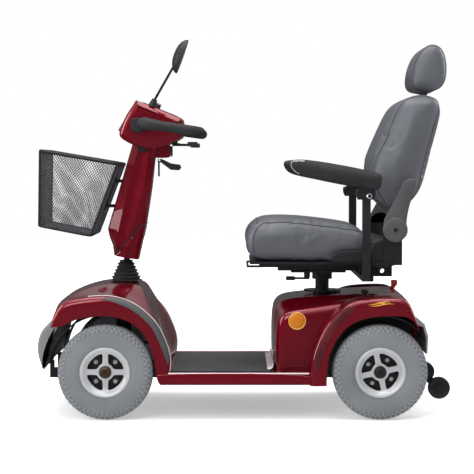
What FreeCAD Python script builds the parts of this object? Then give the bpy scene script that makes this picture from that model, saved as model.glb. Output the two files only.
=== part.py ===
import FreeCAD, Part
import Sketcher
import math
import os
import re
from FreeCAD import Vector

# Four-wheeled mobility scooter in millimetres.  It drives towards -X, the rider's left is -Y, +Z is up
# and the origin is on the ground under the middle of the vehicle.
# Every cell of the sheet is one size that can be changed by itself.

SIZES = {
    # running gear
    "front_axle_x": -434.6, "wheelbase": 863.0, "tyre_radius": 150.0, "tyre_width": 88.0,
    "rim_radius": 76.0, "rim_wall": 9.0, "wheel_track": 524.0, "axle_radius": 8.5, "running_fit": 0.05,
    "hub_radius": 22.0, "king_pin_track": 400.0, "steering_arm": 80.0, "steering_offset": 46.6,
    "arch_clearance": 27.0, "window_count": 4.0,
    # chassis and floor
    "rail_spacing": 210.0, "rail_width": 30.0, "deck_top_rise": -5.0, "deck_depth": 35.0,
    "deck_width": 570.0, "mat_width": 490.0, "panel_wall": 4.0, "tower_radius": 30.0,
    "post_radius": 22.5, "seat_post_setback": 167.4, "body_width": 596.0, "seat_box_width": 450.0,
    "bumper_width": 560.0, "battery_length": 197.0, "battery_width": 165.0, "battery_height": 168.0,
    "motor_radius": 48.0, "tip_wheel_radius": 35.0, "tip_wheel_track": 380.0,
    # steering column and controls
    "column_radius": 14.0, "column_lean": 7.7, "shaft_radius": 16.5, "boot_radius": 53.0,
    "boot_height": 66.0, "tiller_width": 118.0, "cover_wall": 3.0, "console_width": 196.0,
    "dash_slope": 22.1, "bar_width": 470.0, "bar_radius": 17.0, "bar_reach": 183.0, "bar_slope": 8.4,
    "basket_width": 330.0, "basket_wall": 4.0, "lamp_width": 120.0, "mirror_height": 113.0,
    "mirror_width": 92.0, "mirror_tilt": 20.0,
    # seat
    "seat_plate_rise": 302.0, "seat_width": 465.0, "back_width": 440.0, "headrest_width": 270.0,
    "armrest_spread": 568.0, "armrest_width": 62.0, "post_side": 25.0, "receiver_side": 35.0,
    "receiver_wall": 4.0, "cross_pin_radius": 8.0, "headrest_post_radius": 6.0, "back_lean": 13.8,
}
NOMINAL_FRONT = SIZES["front_axle_x"]
NOMINAL_REAR = SIZES["front_axle_x"] + SIZES["wheelbase"]
NOMINAL_AXLE = SIZES["tyre_radius"]
NOMINAL_PLATE = 452.0

doc = FreeCAD.newDocument("mobility_scooter")
sheet = doc.addObject("Spreadsheet::Sheet", "Dims")
for row, (alias, value) in enumerate(SIZES.items(), start=1):
    sheet.set(f"A{row}", alias)
    sheet.set(f"B{row}", str(value))
    sheet.setAlias(f"B{row}", alias)
doc.recompute()

WORD = re.compile(r"[a-z_]+")
finished = []


def formula(text):
    """Turn plain size names into references to the sheet."""
    return WORD.sub(lambda word: "Dims." + word.group(0) if word.group(0) in SIZES else word.group(0),
                    str(text))


def measure(text):
    """The present value of a formula."""
    return float(sheet.evalExpression(formula(text)))


def bind(item, name, text):
    item.setExpression(name, formula(text))


def part(item, name):
    """Give a finished sub-part its name, which is also its file's name."""
    item.Label = name
    finished.append(item)
    return item


# Stations of the drawing.  front() and rear() are carried by the axles, up() by the axle height,
# seat_up() by the swivel plate.

def front(station):
    return f"(front_axle_x + {station - NOMINAL_FRONT:.1f})"


def rear(station):
    return f"(front_axle_x + wheelbase + {station - NOMINAL_REAR:.1f})"


def up(height):
    return f"(tyre_radius + {height - NOMINAL_AXLE:.1f})"


def seat_up(height):
    return f"(tyre_radius + seat_plate_rise + {height - NOMINAL_PLATE:.1f})"


def half(name, extra=0):
    return f"({name} / 2 + {extra})"


DECK_TOP = "(tyre_radius + deck_top_rise)"
RAIL_TOP = "(tyre_radius + deck_top_rise - panel_wall)"
AXLE = "tyre_radius"
FRONT_X = "front_axle_x"
REAR_X = "(front_axle_x + wheelbase)"
POST_X = "(front_axle_x + wheelbase - seat_post_setback)"
STEER_X = "(front_axle_x + steering_offset)"
TURN_TO = {"x": "rotation(vector(0; 1; 0); 90)", "y": "rotation(vector(1; 0; 0); -90)",
           "z": "rotation(vector(0; 0; 1); 0)"}


# ---------------------------------------------------------------- building blocks

def place(item, x, y, z, turn="rotation(vector(0; 0; 1); 0)"):
    bind(item, "Placement", f"placement(vector({x}; {y}; {z}); {turn})")
    return item


def block(x_span, y_span, z_span, name="block"):
    """A box between two corners, given as (low, high) formulas."""
    item = doc.addObject("Part::Box", name)
    for prop, span in (("Length", x_span), ("Width", y_span), ("Height", z_span)):
        bind(item, prop, f"({span[1]}) - ({span[0]})")
    return place(item, x_span[0], y_span[0], z_span[0])


def centred(x_span, width, z_span, name="block"):
    """A box that is centred on the middle plane."""
    return block(x_span, (f"-({width}) / 2", f"({width}) / 2"), z_span, name)


def rod(along, x, y, z, radius, length, name="rod"):
    item = doc.addObject("Part::Cylinder", name)
    bind(item, "Radius", radius)
    bind(item, "Height", length)
    return place(item, x, y, z, TURN_TO[along])


def cross_rod(x, z, radius, length, name="rod"):
    """A round bar across the vehicle, centred on the middle plane."""
    return rod("y", x, f"-({length}) / 2", z, radius, length, name)


def fuse(items, name="fusion"):
    item = doc.addObject("Part::MultiFuse", name)
    item.Shapes = items
    item.Refine = True
    return item


def cut(base, tools, name="cut"):
    item = doc.addObject("Part::Cut", name)
    item.Base = base
    item.Tool = tools[0] if len(tools) == 1 else fuse(tools, name + "_tools")
    return item


def group(items, name="group"):
    """Separate solids that share one sub-part."""
    item = doc.addObject("Part::Compound", name)
    item.Links = items
    return item


def origin_part(body, role):
    return next(feature for feature in body.Origin.OriginFeatures if feature.Role == role)


def new_sketch(body, role):
    sketch = body.newObject("Sketcher::SketchObject", "outline")
    sketch.AttachmentSupport = [(origin_part(body, role), "")]
    sketch.MapMode = "FlatFace"
    return sketch


def draw_outline(sketch, points):
    """A closed outline of straight edges whose corners are bound to formulas."""
    spots = [Vector(measure(across), measure(along), 0) for across, along in points]
    count = len(points)
    for index in range(count):
        sketch.addGeometry(Part.LineSegment(spots[index], spots[(index + 1) % count]), False)
    for index in range(count):
        sketch.addConstraint(Sketcher.Constraint("Coincident", index, 2, (index + 1) % count, 1))
    for index, pair in enumerate(points):
        places = (("DistanceX", pair[0], spots[index].x), ("DistanceY", pair[1], spots[index].y))
        for kind, text, value in places:
            number = sketch.addConstraint(Sketcher.Constraint(kind, -1, 1, index, 1, value))
            bind(sketch, f"Constraints[{number}]", text)


def add_prism(body, kind, width, draw, role="XZ_Plane"):
    """Pad or pocket an outline by the same amount to both sides of its plane."""
    sketch = new_sketch(body, role)
    draw(sketch)
    feature = body.newObject(kind, "prism")
    feature.Profile = sketch
    feature.SideType = "Symmetric"
    bind(feature, "Length", width)
    return feature


def slab(points, width, name="slab"):
    """A side outline extruded across the vehicle."""
    body = doc.addObject("PartDesign::Body", name)
    add_prism(body, "PartDesign::Pad", width, lambda sketch: draw_outline(sketch, points))
    return body


def pocket_outline(body, points, width):
    add_prism(body, "PartDesign::Pocket", width, lambda sketch: draw_outline(sketch, points))


def round_side_edges(body, radius):
    """Round the outline of a slab's two side faces."""
    doc.recompute()
    tip = body.Tip
    reach = tip.Shape.BoundBox.YMax
    names = [f"Edge{number}" for number, edge in enumerate(tip.Shape.Edges, start=1)
             if abs(abs(edge.CenterOfMass.y) - reach) < 0.01 and edge.BoundBox.YLength < 0.01]
    feature = body.newObject("PartDesign::Fillet", "side_rounding")
    feature.Base = (tip, names)
    bind(feature, "Radius", radius)


def inset(points, wall):
    """The same outline moved inwards by a wall."""
    spots = [Vector(measure(across), measure(along), 0) for across, along in points]
    count = len(spots)
    area = sum(spots[i].x * spots[(i + 1) % count].y - spots[(i + 1) % count].x * spots[i].y
               for i in range(count))
    sense = 1 if area > 0 else -1
    moved = []
    for i, (across, along) in enumerate(points):
        before = (spots[i] - spots[i - 1]).normalize()
        after = (spots[(i + 1) % count] - spots[i]).normalize()
        normals = [Vector(-edge.y, edge.x, 0) * sense for edge in (before, after)]
        corner = (normals[0] + normals[1]) * (1 / (1 + normals[0].dot(normals[1])))
        moved.append((f"({across}) + ({wall}) * {corner.x:.4f}", f"({along}) + ({wall}) * {corner.y:.4f}"))
    return moved


def turned(profile, x, y, z, turn, name="turned"):
    """A profile of (radius, height) points spun about its own upright axis and then placed."""
    body = doc.addObject("PartDesign::Body", name)
    sketch = new_sketch(body, "XZ_Plane")
    draw_outline(sketch, profile)
    feature = body.newObject("PartDesign::Revolution", "spin")
    feature.Profile = sketch
    feature.ReferenceAxis = (origin_part(body, "Z_Axis"), [""])
    feature.Angle = 360
    return place(body, x, y, z, turn)


def outward(side):
    """Turns a wheel's own axis to point away from the vehicle on its side."""
    return f"rotation(vector(1; 0; 0); {-90 * side})"


def span(side, near, far):
    """A range of distances from the middle plane, on one side of it."""
    return (near, far) if side > 0 else (f"-({far})", f"-({near})")


def outline(stations, across, along):
    return [(across(x), along(z)) for x, z in stations]


# ---------------------------------------------------------------- chassis

COWL = [(-235, 145), (-216, 200), (-240, 268), (-270, 345), (-303, 397), (-340, 412), (-431, 419),
        (-520, 397), (-575, 367), (-600, 343), (-613, 292)]
SEAT_BOX = [(102, 145), (95, 205), (96, 280), (104, 335), (122, 362), (194, 376), (360, 385), (505, 389),
            (522, 380), (538, 318), (547, 250), (548, 200)]
WING = [(209, 145), (231, 245), (265, 314), (330, 368), (360, 381), (500, 385), (520, 376), (538, 318),
        (547, 250), (548, 200)]


def wheel_arches(x, inner):
    """Round openings over the wheels, from the outside in to a distance from the middle plane."""
    return [rod("y", x, span(side, inner, "400")[0], AXLE, "tyre_radius + arch_clearance", f"400 - {inner}")
            for side in (-1, 1)]


def make_chassis_frame():
    rail = "(rail_spacing / 2)"
    inner = f"({rail} - rail_width / 2)"
    outer = f"({rail} + rail_width / 2)"
    bottom = f"({RAIL_TOP} - rail_width)"
    level = (bottom, RAIL_TOP)
    pieces = []
    for side in (-1, 1):
        pieces.append(block((front(-616), rear(352)), span(side, inner, outer), level))
        pieces.append(block((front(-628), front(-616)), span(side, inner, outer), (bottom, up(165))))
        pieces.append(block((front(-412), front(-390)), span(side, inner, outer), (RAIL_TOP, up(385))))
        pieces.append(block((rear(322), rear(352)), span(side, inner, outer), (RAIL_TOP, up(215))))
        pieces.append(block((rear(322), rear(524)), span(side, inner, outer), (up(215), up(245))))
        pieces.append(block((rear(410), rear(447)), span(side, inner, outer), (up(160), up(215))))
    for stations in ((front(-560), front(-536)), (front(-415), front(-361)), (front(-124), front(-94)),
                     (f"({POST_X} - 34)", f"({POST_X} + 34)")):
        pieces.append(centred(stations, f"2 * {inner}", level))
    pieces.append(centred((rear(500), rear(524)), f"2 * {inner}", (up(215), up(245))))
    pieces.append(centred((front(-152), front(-68)), "260", (up(101), bottom)))
    pieces.append(centred((front(-412), front(-390)), f"2 * {outer}", (up(355), up(385))))
    pieces.append(rod("z", STEER_X, "0", up(325), "shaft_radius + 8", "80"))
    pieces.append(rod("z", STEER_X, "0", RAIL_TOP, "shaft_radius + 8", "38"))
    pieces.append(rod("z", POST_X, "0", RAIL_TOP, "tower_radius", "242"))
    pieces.append(centred((rear(118), rear(319)), "2 * (battery_width + tower_radius + 10)",
                          (RAIL_TOP, f"{RAIL_TOP} + panel_wall")))
    bores = [rod("z", STEER_X, "0", f"({RAIL_TOP} - 8)", "shaft_radius + running_fit", "400"),
             rod("z", POST_X, "0", up(205), "post_radius + running_fit", "400"),
             cross_rod(REAR_X, AXLE, "24", "400")]
    part(cut(fuse(pieces, "welded_frame"), bores, "bored_frame"), "chassis_frame")


def make_front_axle():
    pin = half("king_pin_track")
    beam = centred((f"({FRONT_X} - 18)", f"({FRONT_X} + 18)"), f"2 * ({pin} - 12)",
                   (RAIL_TOP, f"{RAIL_TOP} + 34"))
    sleeves = [rod("z", FRONT_X, f"{side} * {pin}", f"({AXLE} - 34)", "15", "68") for side in (-1, 1)]
    bores = [rod("z", FRONT_X, f"{side} * {pin}", f"({AXLE} - 60)", "7 + running_fit", "120")
             for side in (-1, 1)]
    part(cut(fuse([beam] + sleeves), bores), "front_axle_beam")


def make_knuckle(side, name):
    """Fork over the king-pin sleeve, stub axle outwards and steering arm to the rear."""
    pin = half("king_pin_track")
    at = f"({side} * {pin})"
    wide = (f"({FRONT_X} - 14)", f"({FRONT_X} + 14)")
    top = f"({AXLE} + 34.6)"
    low = f"({AXLE} - 34.6)"
    web = span(side, f"{pin} + 16", f"{pin} + 25")
    lug = span(side, f"{pin} - 14", f"{pin} + 25")
    pieces = [block(wide, web, (f"{low} - 9", f"{top} + 9")),
              block(wide, lug, (top, f"{top} + 9")),
              block(wide, lug, (f"{low} - 9", low)),
              rod("z", FRONT_X, at, f"({low} - 9)", "7", f"{top} - {low} + 18"),
              block((FRONT_X, f"({FRONT_X} + steering_arm + 9)"), (f"({at} - 9)", f"({at} + 9)"),
                    (top, f"{top} + 9")),
              rod("z", f"({FRONT_X} + steering_arm)", at, top, "5", "21")]
    stub_start = f"({pin} + 25)" if side > 0 else f"(-(wheel_track / 2 + 22))"
    pieces.append(rod("y", FRONT_X, stub_start, AXLE, "axle_radius", f"wheel_track / 2 + 22 - {pin} - 25"))
    part(fuse(pieces, name + "_forging"), name)


def make_tie_rod():
    line = f"({FRONT_X} + steering_arm)"
    height = f"({AXLE} + 44.6)"
    tab_end = f"({STEER_X} + steering_arm)"
    bar = rod("y", line, f"-{half('king_pin_track')}", f"({height} + 6)", "5", "king_pin_track")
    tab = block((line, f"({tab_end} + 10)"), ("-10", "10"), (height, f"{height} + 12"))
    eyes = [rod("z", line, f"{side} * {half('king_pin_track')}", height, "10", "12") for side in (-1, 1)]
    bores = [rod("z", line, f"{side} * {half('king_pin_track')}", f"({height} - 4)", "5 + running_fit", "20")
             for side in (-1, 1)]
    bores.append(rod("z", tab_end, "0", f"({height} - 4)", "5 + running_fit", "20"))
    part(cut(fuse([bar, tab] + eyes), bores), "tie_rod")


def make_floor():
    deck_low = f"({DECK_TOP} - deck_depth)"
    ends = (front(-267), rear(262))
    outer = centred(ends, "deck_width", (deck_low, DECK_TOP))
    hollow = centred((front(-300), rear(300)), "deck_width - 2 * panel_wall",
                     (f"{deck_low} - 10", f"{DECK_TOP} - panel_wall"))
    arches = [cross_rod(FRONT_X, AXLE, "tyre_radius + arch_clearance", "900"),
              cross_rod(REAR_X, AXLE, "tyre_radius + arch_clearance", "900"),
              rod("z", POST_X, "0", up(100), "tower_radius + 0.3", "100"),
              centred((rear(118), rear(319)), "2 * (battery_width + tower_radius + 10) + 0.6",
                      (f"{DECK_TOP} - panel_wall", up(160)))]
    part(cut(outer, [hollow] + arches), "floor_pan")
    part(centred((front(-232), rear(94)), "mat_width", (DECK_TOP, f"{DECK_TOP} + 4")), "floor_mat")


def make_cowl():
    points = outline(COWL, front, up)
    body = slab(points, "deck_width", "cowl_shell")
    round_side_edges(body, "12")
    below = outline([(-606, 100), (-241, 100)], front, up)
    pocket_outline(body, inset(points, "panel_wall") + below, "deck_width - 2 * panel_wall")
    hole = rod("z", STEER_X, "0", up(380), "boot_radius - 8", "80")
    part(cut(body, [hole] + wheel_arches(FRONT_X, "140")), "front_cowl")
    band = outline([(-470, 388), (-400, 384), (-335, 362), (-287, 322), (-252, 255), (-228, 176),
                    (-243, 172), (-268, 248), (-302, 309), (-342, 345), (-402, 368), (-470, 372)], front, up)
    strips = [place(slab(band, "3", "strip"), "0", f"{side} * (deck_width / 2 + 1.5)", "0")
              for side in (-1, 1)]
    part(group(strips), "cowl_trim")


def make_bumpers():
    guard = outline([(-613.5, 289), (-629, 289), (-657, 226), (-632, 145), (-628.6, 145), (-628.6, 165),
                     (-647, 226), (-618, 281)], front, up)
    part(slab(guard, "bumper_width", "front_guard"), "front_bumper")
    channel = outline([(540.1, 305), (568, 301), (579, 262), (577, 207), (572, 207), (573, 256),
                       (563, 293), (541.2, 298)], rear, up)
    part(slab(channel, "bumper_width", "rear_guard"), "rear_bumper")


def make_liners():
    """Arched inner wheel covers behind the front tyres."""
    arch = "tyre_radius + arch_clearance"
    liners = []
    for side in (-1, 1):
        low, high = span(side, "150", "deck_width / 2 - panel_wall - 0.5")
        ring = cut(rod("y", FRONT_X, low, AXLE, f"{arch} + 4", f"({high}) - ({low})"),
                   [rod("y", FRONT_X, low, AXLE, f"{arch} + 1", f"({high}) - ({low})")])
        away = block((front(-900), front(0)), ("-400", "400"), (up(-100), up(176)))
        liners.append(cut(ring, [away]))
    part(group(liners), "wheel_liners")


def make_rear_body():
    box_points = outline(SEAT_BOX, rear, up)
    wing_points = outline(WING, rear, up)
    body = slab(box_points, "seat_box_width", "rear_shell")
    add_prism(body, "PartDesign::Pad", "body_width", lambda sketch: draw_outline(sketch, wing_points))
    floor_line = outline([(548, 90), (100, 90)], rear, up)
    inner_box = inset(box_points, "panel_wall")
    inner_wing = inset(wing_points, "panel_wall")
    pocket_outline(body, inner_box + floor_line, "seat_box_width - 2 * panel_wall")
    pocket_outline(body, inner_wing + [floor_line[0], (rear(215), up(90))], "body_width - 2 * panel_wall")
    holes = wheel_arches(REAR_X, "205") + [rod("z", POST_X, "0", up(340), "tower_radius + 0.3", "80"),
             block((rear(455), rear(515)), ("50", "70"), (up(340), up(420))),
             centred((rear(540), rear(560)), "120", (up(195), up(207)))]
    part(cut(body, holes), "rear_body")


def make_reflectors():
    amber = []
    for side in (-1, 1):
        inner_face = f"{side} * (seat_box_width / 2) - {5 if side < 0 else 0}"
        amber.append(rod("y", rear(170), inner_face, up(306), "28.5", "5"))
    red = [rod("x", rear(579), f"{side} * 230", up(250), "20", "5") for side in (-1, 1)]
    part(group(amber + red), "reflectors")


def make_power():
    tray = f"({RAIL_TOP} + panel_wall)"
    cells = [block((rear(120), f"({rear(120)} + battery_length)"),
                   span(side, "tower_radius + 8", "tower_radius + 8 + battery_width"),
                   (tray, f"{tray} + battery_height")) for side in (-1, 1)]
    part(group(cells), "batteries")
    part(centred((rear(325), rear(376)), "200", (up(245), up(285))), "motor_controller")


def make_drive_unit():
    gearbox = fuse([cross_rod(REAR_X, AXLE, "60", "76"),
                    centred((f"({REAR_X} - 46)", f"({REAR_X} + 50)"), "76", (AXLE, up(240)))])
    tubes = cross_rod(REAR_X, AXLE, "24", "400")
    shafts = cross_rod(REAR_X, AXLE, "axle_radius", "wheel_track + 44")
    motor = rod("y", f"({REAR_X} + 6)", "-85", up(262), "motor_radius", "170")
    lug = block((rear(441), rear(461)), ("47", "54"), (up(290), up(332)))
    pin = rod("y", rear(451), "50", up(322), "4", "16")
    part(fuse([gearbox, tubes, shafts, motor, lug, pin], "transaxle"), "drive_unit")


def make_freewheel_lever():
    arm = slab(outline([(447, 312), (441, 322), (446, 332), (498, 398), (498, 414), (514, 416), (513, 396),
                        (461, 326), (457, 313)], rear, up), "8", "lever_blade")
    place(arm, "0", "60", "0")
    knob = block((rear(497), rear(515)), ("44", "76"), (up(398), up(414)))
    bore = rod("y", rear(451), "40", up(322), "4 + running_fit", "60")
    part(cut(fuse([arm, knob]), [bore]), "freewheel_lever")


def make_anti_tip():
    wheel_y = half("tip_wheel_track")
    pieces = [centred((rear(524), rear(530)), "90", (up(150), up(245))),
              cross_rod(rear(540), up(160), "10", f"2 * ({wheel_y} - 12)")]
    for side in (-1, 1):
        arm = slab(outline([(530, 170), (545, 172), (633, 97), (636, 84), (622, 78), (530, 148)], rear, up),
                   "8", "tip_arm")
        place(arm, "0", f"{side} * ({wheel_y} - 16)", "0")
        axle_start = f"({side} * ({wheel_y} - 16) - {0 if side > 0 else 32})"
        pieces += [arm, rod("y", rear(625), axle_start, up(88), "5", "32")]
    part(fuse(pieces), "anti_tip_frame")
    profile = [("5 + running_fit", "-11"), ("12", "-11"), ("12", "-6"), ("tip_wheel_radius - 8", "-9"),
               ("tip_wheel_radius - 3", "-11"), ("tip_wheel_radius", "-7"), ("tip_wheel_radius", "7"),
               ("tip_wheel_radius - 3", "11"), ("tip_wheel_radius - 8", "9"), ("12", "6"), ("12", "11"),
               ("5 + running_fit", "11")]
    for side, word in ((-1, "left"), (1, "right")):
        wheel = turned(profile, rear(625), f"{side} * {wheel_y}", up(88), outward(side))
        part(wheel, f"anti_tip_wheel_{word}")


# ---------------------------------------------------------------- road wheels

def make_wheel(name, x, side):
    y = f"{side} * wheel_track / 2"
    side_wall = "tyre_width / 2"
    outer = [("rim_radius", f"-{side_wall} + 11"), ("rim_radius + 14", f"-{side_wall} + 3"),
             ("rim_radius + 38", f"-{side_wall}"), ("tyre_radius - 14", f"-{side_wall} + 6"),
             ("tyre_radius - 4", f"-{side_wall} + 20"), ("tyre_radius", "-10")]
    inner = [("rim_radius", f"{side_wall} - 20"), ("rim_radius + 16", f"{side_wall} - 13"),
             ("rim_radius + 40", f"{side_wall} - 12"), ("tyre_radius - 14", f"{side_wall} - 28")]
    flip = [(radius, f"-({height})") for radius, height in reversed(outer)]
    flip_inner = [(radius, f"-({height})") for radius, height in reversed(inner)]
    part(turned(outer + flip + inner + flip_inner, x, y, AXLE, outward(side)), name + "_tyre")

    barrel = [("axle_radius + running_fit", "-32"), ("hub_radius", "-32"), ("hub_radius", "6"),
              ("rim_radius - rim_wall - 6", "8"), ("rim_radius - rim_wall", "-33"), ("rim_radius", "-33"),
              ("rim_radius", "33"), ("rim_radius - 5", "33"), ("rim_radius - rim_wall - 8", "22"),
              ("hub_radius + 6", "24"), ("axle_radius + running_fit", "24")]
    rim = turned(barrel, x, y, AXLE, outward(side), "rim_casting")
    window = new_sketch(rim, "XY_Plane")
    draw_outline(window, [("hub_radius + 10", "-7"), ("rim_radius - rim_wall - 13", "-28"),
                          ("rim_radius - rim_wall - 10", "0"), ("rim_radius - rim_wall - 13", "28"),
                          ("hub_radius + 10", "7")])
    slot = rim.newObject("PartDesign::Pocket", "window")
    slot.Profile = window
    slot.SideType = "Symmetric"
    slot.Length = 90
    ring = rim.newObject("PartDesign::PolarPattern", "windows")
    ring.Originals = [slot]
    ring.Axis = (origin_part(rim, "Z_Axis"), [""])
    ring.Angle = 360
    bind(ring, "Occurrences", "window_count")
    rim.Tip = ring
    cap_profile = [("0", "24"), ("20", "24"), ("18", "32"), ("0", "34")]
    cap = turned(cap_profile, x, y, AXLE, outward(side), "hub_cap")
    bolts = []
    for turn in range(4):
        angle = math.radians(45 + 90 * turn)
        start = f"({y} + {23.9 if side > 0 else -29.4})"
        bolts.append(rod("y", f"({x} + {37 * math.cos(angle):.3f})", start,
                         f"({AXLE} + {37 * math.sin(angle):.3f})", "6", "5.5"))
    part(group([rim, cap] + bolts), name + "_rim")


# ---------------------------------------------------------------- steering and tiller

PIVOT_Z = up(470)


def make_steering_shaft():
    arm_level = f"({AXLE} + 58)"
    pitman_end = f"({STEER_X} + steering_arm)"
    pieces = [rod("z", STEER_X, "0", f"({RAIL_TOP} - 4)", "shaft_radius", "301"),
              block((STEER_X, f"({pitman_end} + 10)"), ("-12", "12"), (arm_level, f"{arm_level} + 8")),
              rod("z", pitman_end, "0", f"({arm_level} - 13)", "5", "14"),
              centred((f"({STEER_X} - 11)", f"({STEER_X} + 11)"), "30", (up(436), up(450)))]
    for side in (-1, 1):
        pieces.append(block((f"({STEER_X} - 11)", f"({STEER_X} + 11)"), span(side, "9", "15"),
                            (up(450), up(482))))
    pieces.append(cross_rod(STEER_X, PIVOT_Z, "5", "30"))
    part(fuse(pieces), "steering_shaft")


def make_boot():
    """Pleated rubber boot over the tilt joint."""
    wall = 2.5
    base = 419.5
    outer = []
    inner = []
    pleats = 6
    for index in range(pleats + 1):
        share = index / pleats
        height = f"(boot_height * {share:.3f})"
        ring = f"(boot_radius - {29 * share:.2f})"
        outer.append((ring, height))
        inner.append((f"{ring} - {wall}", height))
        if index < pleats:
            middle = f"(boot_height * {(index + 0.5) / pleats:.3f})"
            outer.append((f"({ring} - 7)", middle))
            inner.append((f"({ring} - 7 - {wall})", middle))
    profile = outer + list(reversed(inner))
    part(turned(profile, STEER_X, "0", up(base), TURN_TO["z"], "pleats"), "tiller_boot")


def lean(x, y, z):
    """Placement of a piece that follows the leaning column."""
    return (x, y, z, "rotation(vector(0; 1; 0); column_lean)")


def column_x(above_pivot):
    return f"({STEER_X} + {above_pivot} * tan(column_lean))"


def make_column():
    tube = doc.addObject("Part::Cylinder", "column_tube")
    bind(tube, "Radius", "column_radius")
    bind(tube, "Height", "400")
    place(tube, *lean(column_x("29"), "0", up(499)))
    tongue = doc.addObject("Part::Box", "column_tongue")
    for prop, size in (("Length", "20"), ("Width", "17"), ("Height", "34")):
        bind(tongue, prop, size)
    place(tongue, *lean(f"({STEER_X} - 9.9)", "-8.5", up(471.4)))
    eye = cross_rod(STEER_X, PIVOT_Z, "10", "17")
    bore = cross_rod(STEER_X, PIVOT_Z, "5 + running_fit", "60")
    arms = [centred((front(-420), front(-356)), "36", (up(742), up(752))),
            centred((front(-451), front(-366)), "36", (up(660), up(670)))]
    hook = slab(outline([(-419.8, 760), (-414, 760), (-454.5, 652), (-460.5, 652)], front, up), "60",
                "hook_plate")
    part(cut(fuse([tube, tongue, eye] + arms + [hook]), [bore]), "tiller_column")


FRONT_COVER = [(-437, 514), (-448, 568), (-426, 655), (-375, 863), (-372, 880), (-338, 872), (-388, 505)]
REAR_COVER = [(-387.7, 505), (-337.7, 872), (-304, 862), (-304, 826), (-329, 618), (-341, 540), (-345, 497)]


def make_tiller_covers():
    clearances = []
    tube = doc.addObject("Part::Cylinder", "column_space")
    bind(tube, "Radius", "column_radius + 0.3")
    bind(tube, "Height", "460")
    place(tube, *lean(column_x("7"), "0", up(477)))
    clearances.append(tube)
    clearances.append(centred((front(-470), front(-340)), "36.6", (up(741.7), up(752.3))))
    clearances.append(centred((front(-470), front(-340)), "36.6", (up(659.7), up(670.3))))
    for points, name in ((FRONT_COVER, "tiller_front_cover"), (REAR_COVER, "tiller_rear_cover")):
        shape = outline(points, front, up)
        body = slab(shape, "tiller_width", name + "_shell")
        round_side_edges(body, "9")
        pocket_outline(body, inset(shape, "cover_wall"), "tiller_width - 2 * cover_wall")
        part(cut(body, clearances), name)


CONSOLE = [(-405, 910), (-346, 1009), (-201, 950), (-200, 896), (-240, 875), (-300, 872.5), (-378, 881)]


def dash_point(along, above):
    """A point on the sloping dash, measured down the slope from its front edge."""
    x = f"({front(-346)} + ({along}) * cos(dash_slope) + ({above}) * sin(dash_slope))"
    z = f"({up(1009)} - ({along}) * sin(dash_slope) + ({above}) * cos(dash_slope))"
    return x, z


def on_dash(item, along, y, above):
    x, z = dash_point(along, above)
    return place(item, x, y, z, "rotation(vector(0; 1; 0); dash_slope)")


def dash_button(radius, height, along, y, above, name):
    item = doc.addObject("Part::Cylinder", name)
    bind(item, "Radius", radius)
    bind(item, "Height", height)
    return on_dash(item, along, y, above)


def dash_block(length, width, height, along, y, above, name):
    item = doc.addObject("Part::Box", name)
    for prop, size in (("Length", length), ("Width", width), ("Height", height)):
        bind(item, prop, size)
    return on_dash(item, along, y, above)


def make_console():
    points = outline(CONSOLE, front, up)
    shell = slab(points, "console_width", "console_shell")
    round_side_edges(shell, "10")
    pocket_outline(shell, inset(points, "cover_wall"), "console_width - 2 * cover_wall")
    bar_x = front(-320)
    bar_z = up(931)
    holes = [cross_rod(bar_x, bar_z, "bar_radius", "console_width + 40"),
             rod("z", front(-222), "0", up(860), "5", "60")]
    socket_box = centred((front(-300), front(-241)), "52", (up(823), up(871)))
    lugs = [block((front(-286), front(-268)), span(side, "9", "13"), (up(806), up(823))) for side in (-1, 1)]
    pin = cross_rod(front(-277), up(816), "3", "26")
    ears = [block((front(-241), front(-233)), span(side, "18", "22"), (up(824), up(833))) for side in (-1, 1)]
    flap_pin = cross_rod(front(-236.5), up(828.5), "2", "44")
    stem = centred((front(-300), front(-262)), "40", (up(871), up(874.5)))
    housing = fuse([cut(shell, holes), socket_box, pin, flap_pin, stem] + lugs + ears)
    column_hole = doc.addObject("Part::Cylinder", "column_top_space")
    bind(column_hole, "Radius", "column_radius + 0.3")
    bind(column_hole, "Height", "460")
    place(column_hole, *lean(column_x("7"), "0", up(477)))
    part(cut(housing, [column_hole]), "console_housing")
    part(slab(outline([(-409, 912.5), (-350, 1011.5), (-346.3, 1009.3), (-405.3, 910.3)], front, up),
              "lamp_width", "lens"), "headlamp")
    panel = dash_block("118", "124", "3", "20", "-62", "0", "panel")
    horn_hole = dash_button("9.4", "8", "60", "-48", "-2", "horn_hole")
    part(cut(panel, [horn_hole]), "dash_panel")
    part(dash_button("15", "11", "60", "0", "3.5", "dial"), "speed_dial")
    key_barrel = dash_button("6", "3", "60", "48", "3.5", "barrel")
    key_blade = dash_block("22", "3", "14", "49", "46.5", "6.5", "blade")
    part(fuse([key_barrel, key_blade]), "ignition_key")
    part(dash_button("9", "6", "60", "-48", "2.5", "horn"), "horn_button")


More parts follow.
